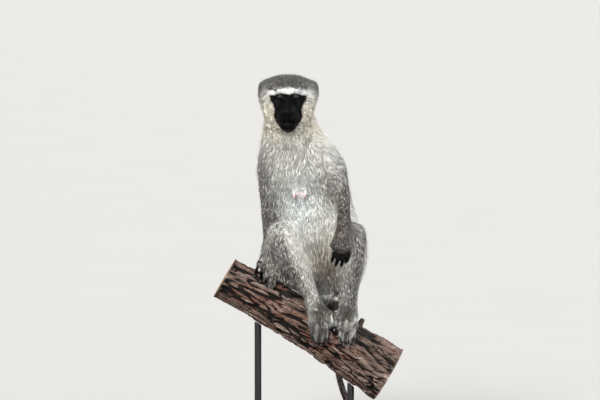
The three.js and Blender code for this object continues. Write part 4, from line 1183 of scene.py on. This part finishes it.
def makeEye(side, material):
    angle, turn, faces = ballGrid(eyeShape["turns"], eyeShape["rings"])
    bulge = 1 + eyeShape["cornea"] / eyeRadius * np.maximum(0, 1 - (angle / eyeShape["iris"]) ** 2)
    shape = np.stack([np.sin(angle) * np.cos(turn), -np.cos(angle) * bulge, np.sin(angle) * np.sin(turn)], 1)
    points = shape * eyeRadius * eyeShape["share"] + eyePlace(side)
    ball = makeMesh("eyeball_" + side, points, faces, {"out": np.minimum(angle, 1)}, material)
    ride(ball, "eye", "eye_" + side)


eyeMaterial = eyeFinish()
for side in sides:
    makeEye(side, eyeMaterial)
print("stage: eyes")


# ---- nails
nail = {
    "length": 5.6,
    "width": 3.6,
    "thick": 1.1,
    "stops": [(0.0, rgb(26, 23, 24)), (0.8, rgb(48, 43, 43)), (1.0, rgb(96, 88, 84))],
}


def nailFinish():
    finish = Finish("claw", Roughness=0.32, **{"Coat Weight": 0.4, "Coat Roughness": 0.2})
    ridges = finish.noise(finish.place((1, 1, 0.2)), 1400, 2)
    colour = finish.ramp(finish.attribute("tip"), nail["stops"])
    return finish.done(Base_Color=colour, Normal=finish.bump(ridges, 0.3, 0.0002))


def makeNails():
    angle, turn, faces = ballGrid(14, 12)
    points, tips = [], []
    for name, way, radii in digits:
        ahead = unit(way[-1] - way[-3])
        outward = np.array([0, -1, 0.1 if name == "hand_left" else 0.35])
        outward = unit(outward - ahead * (outward @ ahead))
        across = np.cross(ahead, outward)
        along = -np.cos(angle) * nail["length"] / 2
        wide = np.sin(angle) ** 0.7 * np.cos(turn) * nail["width"] / 2
        high = np.sin(angle) * np.sin(turn) * nail["thick"] / 2 - wide**2 * 0.16 - along**2 * 0.025
        middle = way[-1] + ahead * radii[-1] * 0.55 + outward * radii[-1] * 0.82
        points.append(middle + along[:, None] * ahead + wide[:, None] * across + high[:, None] * outward)
        tips.append(np.clip(along / nail["length"] + 0.5, 0, 1))
    claws = copies(faces, len(digits), len(angle))
    nails = makeMesh("nails", np.concatenate(points), claws, {"tip": np.concatenate(tips)}, nailFinish())
    ride(nails, "claw")


makeNails()
print("stage: nails")


# ---- perch: bark with fissures that run lengthwise, and sawn ends
perch = {
    "around": 230,
    "along": 260,
    "rings": 26,  # in each sawn end
    "stretch": 4.2,  # how much longer than wide the plates of bark are
    # how deep the wide cracks, the narrow ones, the hair cracks, the flakes and the fine grain go
    "fissure": 6.0,
    "crack": 3.2,
    "hair": 1.1,
    "flake": 3.4,
    "grain": 0.9,
    "square": 9,  # how far in from the ends the radius is read, as the solid's ends are not quite square
    "stub": {"at": (82, 4), "height": 12, "radius": 4.6},
}


def perchForm():  # the branch's middle line, its two side directions and its radius all round
    solid = solids["perch"][0]
    along = np.linalg.svd(solid - solid.mean(0), full_matrices=False)[2][0]
    along = along * np.sign(along[0])
    side = unit(np.cross(along, [0, 0, 1]))
    up = np.cross(side, along)
    reach = (solid - solid.mean(0)) @ along
    stops = np.linspace(reach.min() + 0.6, reach.max() - 0.6, perch["along"])
    ends = [solid[np.abs(reach - stop) < 14] for stop in (reach.min(), reach.max())]
    first, last = ((part.min(0) + part.max(0)) / 2 for part in ends)
    turns = np.linspace(0, 2 * math.pi, perch["around"], endpoint=False)
    radius = np.full((perch["along"], perch["around"]), np.nan)
    start = solid.mean(0) + along * stops[:, None]
    share = ((stops - stops[0]) / (stops[-1] - stops[0]))[:, None]
    offset = (first - start[0]) * (1 - share) + (last - start[-1]) * share
    line = start + offset - along * ((offset @ along)[:, None])
    for i, middle in enumerate(line):
        for j, turn in enumerate(turns):
            ray = side * math.cos(turn) + up * math.sin(turn)
            spot, _, _, gap = bark.ray_cast(middle.tolist(), ray.tolist())
            if spot is not None and gap > 20:
                radius[i, j] = gap
    radius[np.minimum(stops - stops[0], stops[-1] - stops) < perch["square"]] = np.nan
    for j in range(perch["around"]):  # a missed ray takes the radius of the nearest one along the branch
        good = ~np.isnan(radius[:, j])
        radius[:, j] = np.interp(stops, stops[good], radius[good, j])
    return line, along, side, up, turns, radius


def barkRelief(flat, place, length, outward):  # how far the bark lies in, and the steps of its flakes
    def cracks(size, low):  # 1 along lines between patches
        return smooth(low, 0.985, 1 - np.abs(patches(place, size) * 2 - 1) * 1.25)

    wide = cracks(8.5, 0.66) * smooth(0.25, 0.5, patches(place, 15))
    narrow, hair = cracks(4.6, 0.66), cracks(2.4, 0.62)
    plates = patches(place + 31, 5) * 6 + patches(place, 2.2) * 1.5
    steps = (np.floor(plates) + smooth(0.0, 0.22, plates % 1)) / 8
    fine = patches(flat, 1.7) * 0.5 + patches(place, 1.2) * 0.5
    relief = perch["fissure"] * wide + perch["crack"] * narrow * (1 - wide) + perch["hair"] * hair
    relief = relief + perch["flake"] * (1 - steps) + perch["grain"] * fine
    edge = np.minimum(length - length.min(), length.max() - length)
    relief = relief * smooth(-1, 4, edge) + 0.8 * smooth(3, 0, edge)
    (x, y), radius = perch["stub"]["at"], perch["stub"]["radius"]
    away = np.hypot(flat[:, 0] - x, flat[:, 1] - y) + 3 * (patches(flat, 4) - 0.5)
    onTop = outward[:, 2] > 0.3
    return relief - perch["stub"]["height"] * smooth(radius, radius * 0.7, away) * onTop, steps


def sawnEnd(rim, heart, along, start):  # its points, numbered from start, faces, and 1 or more on the wood
    stops = np.linspace(1, 0.02, perch["rings"])
    disc = heart + (rim - heart)[None] * stops[:, None, None]
    disc = disc - along * ((disc - heart) @ along)[:, :, None]
    spots = np.arange(disc.size // 3).reshape(len(stops), -1) + start
    fan = np.stack([np.roll(spots[-1], -1), np.full(len(rim), spots.max() + 1), spots[-1]], 1)
    wood = np.append(np.linalg.norm(disc - heart, axis=2), 0) + 1
    return np.concatenate([disc.reshape(-1, 3), heart[None]]), np.concatenate([gridFaces(spots), fan]), wood


def makePerch():
    line, along, side, up, turns, radius = perchForm()
    ray = np.cos(turns)[:, None] * side + np.sin(turns)[:, None] * up
    outward = np.tile(ray, (len(line), 1))
    flat = (line[:, None] + ray[None] * radius[:, :, None]).reshape(-1, 3)
    length = (flat - line[0]) @ along
    place = flat - length[:, None] * along * (1 - 1 / perch["stretch"])
    warp = np.stack([patches(place, 13) for _ in range(3)], 1) - 0.5
    place = place + warp * 6 + (patches(place, 3.5)[:, None] - 0.5) * 2.4
    relief, steps = barkRelief(flat, place, length, outward)
    sheath = flat - outward * relief[:, None]
    grid = np.arange(len(sheath)).reshape(len(line), -1)
    points, faces, wood = [sheath], [gridFaces(grid)], [np.zeros(len(sheath))]
    for ring, flip in ((0, -1), (-1, 1)):
        end = sawnEnd(sheath[grid[ring]], line[ring], along, sum(len(part) for part in points))
        points.append(end[0])
        faces.append(end[1][:, ::flip])
        wood.append(end[2])
    points = np.concatenate(points)
    depth = np.maximum(relief, 0) / (perch["fissure"] + 3)
    values = {"depth": depth, "strip": patches(place, 16), "flake": steps}
    values = {key: np.pad(value, (0, len(points) - len(sheath))) for key, value in values.items()}
    values["core"] = np.concatenate(wood)
    ride(makeMesh("perch_bark", points, np.concatenate(faces), values, barkFinish()), "bark", "perch")


barkTones = {
    # bark tones by flake step: lighter on the outer flakes as painted highlight, darker on sunken ones as
    # painted shade, with the bark's own tone
    "flakeToneAndHighlight": [
        (0.1, rgb(26, 20, 18)),
        (0.45, rgb(68, 53, 47)),
        (0.75, rgb(118, 101, 93)),
        (1.0, rgb(206, 196, 189)),
    ],
    "inner": [(0.3, rgb(76, 40, 27)), (0.7, rgb(134, 78, 52))],
    # painted shade for the deepest cracks
    "fissure": rgb(10, 7, 6),
    "dust": rgb(70, 62, 58),
    "wood": [(0.15, rgb(170, 142, 110)), (0.95, rgb(96, 70, 50))],
}


def barkFinish():
    finish = Finish("bark", Roughness=0.85, **{"Specular IOR Level": 0.25})
    spot = finish.place()
    depth, flake, strip = finish.attribute("depth"), finish.attribute("flake"), finish.attribute("strip")
    fine = finish.noise(spot, 330, 4, 0.65)
    broad = finish.noise(spot, 38, 3)
    # painted highlight on the outer flakes and painted shade on the sunken ones, over the bark's own tones
    flakeToneAndHighlight = finish.ramp(finish.clamp(flake * 0.6 + fine * 0.75 - 0.1), barkTones["flakeToneAndHighlight"])
    inner = finish.ramp(fine, barkTones["inner"])
    red = finish.smooth(strip + (fine - 0.5) * 0.5, 0.5, 0.68) * finish.smooth(depth, 0.3, 0.45)
    colour = finish.mix(red * 0.75, flakeToneAndHighlight, inner)
    # painted shade: near black in the deepest cracks
    colour = finish.mix(finish.smooth(depth, 0.38, 0.6), colour, barkTones["fissure"])
    colour = finish.mix(finish.smooth(broad, 0.5, 0.75) * 0.35, colour, barkTones["dust"])
    core = finish.attribute("core")
    rings = finish.math("SINE", core * 1.5 + finish.noise(spot, 60, 2) * 4) * 0.5 + 0.5
    wood = finish.ramp(rings * 0.7 + fine * 0.4, barkTones["wood"])
    colour = finish.mix(finish.smooth(core, 0.5, 1.0), colour, wood)
    grain = fine + finish.cells(spot, 420) * 0.5
    return finish.done(Base_Color=colour, Normal=finish.bump(grain, 0.7, 0.0015))


makePerch()
print("stage: perch")


# ---- stand: a stained board and dark steel rods
standTones = {
    "board": [(0.2, rgb(58, 36, 24)), (0.6, rgb(96, 62, 40)), (0.95, rgb(124, 84, 54))],
    "pores": rgb(34, 20, 13),
    "steel": rgb(62, 62, 64),
}


def boardFinish():
    finish = Finish("board", Roughness=0.38, **{"Coat Weight": 0.25, "Coat Roughness": 0.25})
    grain = finish.noise(finish.place((1, 9, 9)), 26, 5, 0.6)
    lines = finish.math("SINE", grain * 42) * 0.5 + 0.5
    pores = finish.noise(finish.place((1, 30, 30)), 90, 2)
    colour = finish.ramp(lines * 0.6 + grain * 0.5, standTones["board"])
    colour = finish.mix(finish.smooth(pores, 0.62, 0.7) * 0.6, colour, standTones["pores"])
    return finish.done(Base_Color=colour, Normal=finish.bump(lines * 0.4 + pores, 0.25, 0.0004))


def steelFinish():
    finish = Finish("steel", Metallic=1.0, **{"Base Color": standTones["steel"]})
    brushed = finish.noise(finish.place((9, 9, 0.4)), 180, 3)
    return finish.done(Roughness=0.26 + brushed * 0.22, Normal=finish.bump(brushed, 0.1, 0.0003))


def finishStand():
    board, steel = boardFinish(), steelFinish()
    for name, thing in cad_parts.items():
        if name.startswith("stand_"):
            for slot in thing.material_slots:
                slot.material = board if name == "stand_base" else steel


finishStand()
print("stage: stand")


# ---- floor
def makeFloor():
    turns = np.linspace(0, 2 * math.pi, 96, endpoint=False)
    rim = np.stack([np.cos(turns), np.sin(turns), 0 * turns], 1) * floor["radius"]
    spots = np.arange(1, len(turns) + 1)
    faces = np.stack([0 * spots, spots, np.roll(spots, -1)], 1)
    finish = Finish("floor", Roughness=0.9)
    colour = finish.mix(finish.noise(finish.place(), 3, 2), *floor["colours"])
    points = np.concatenate([np.zeros((1, 3)), rim])
    makeMesh("floor", points, faces, None, finish.done(Base_Color=colour))


makeFloor()
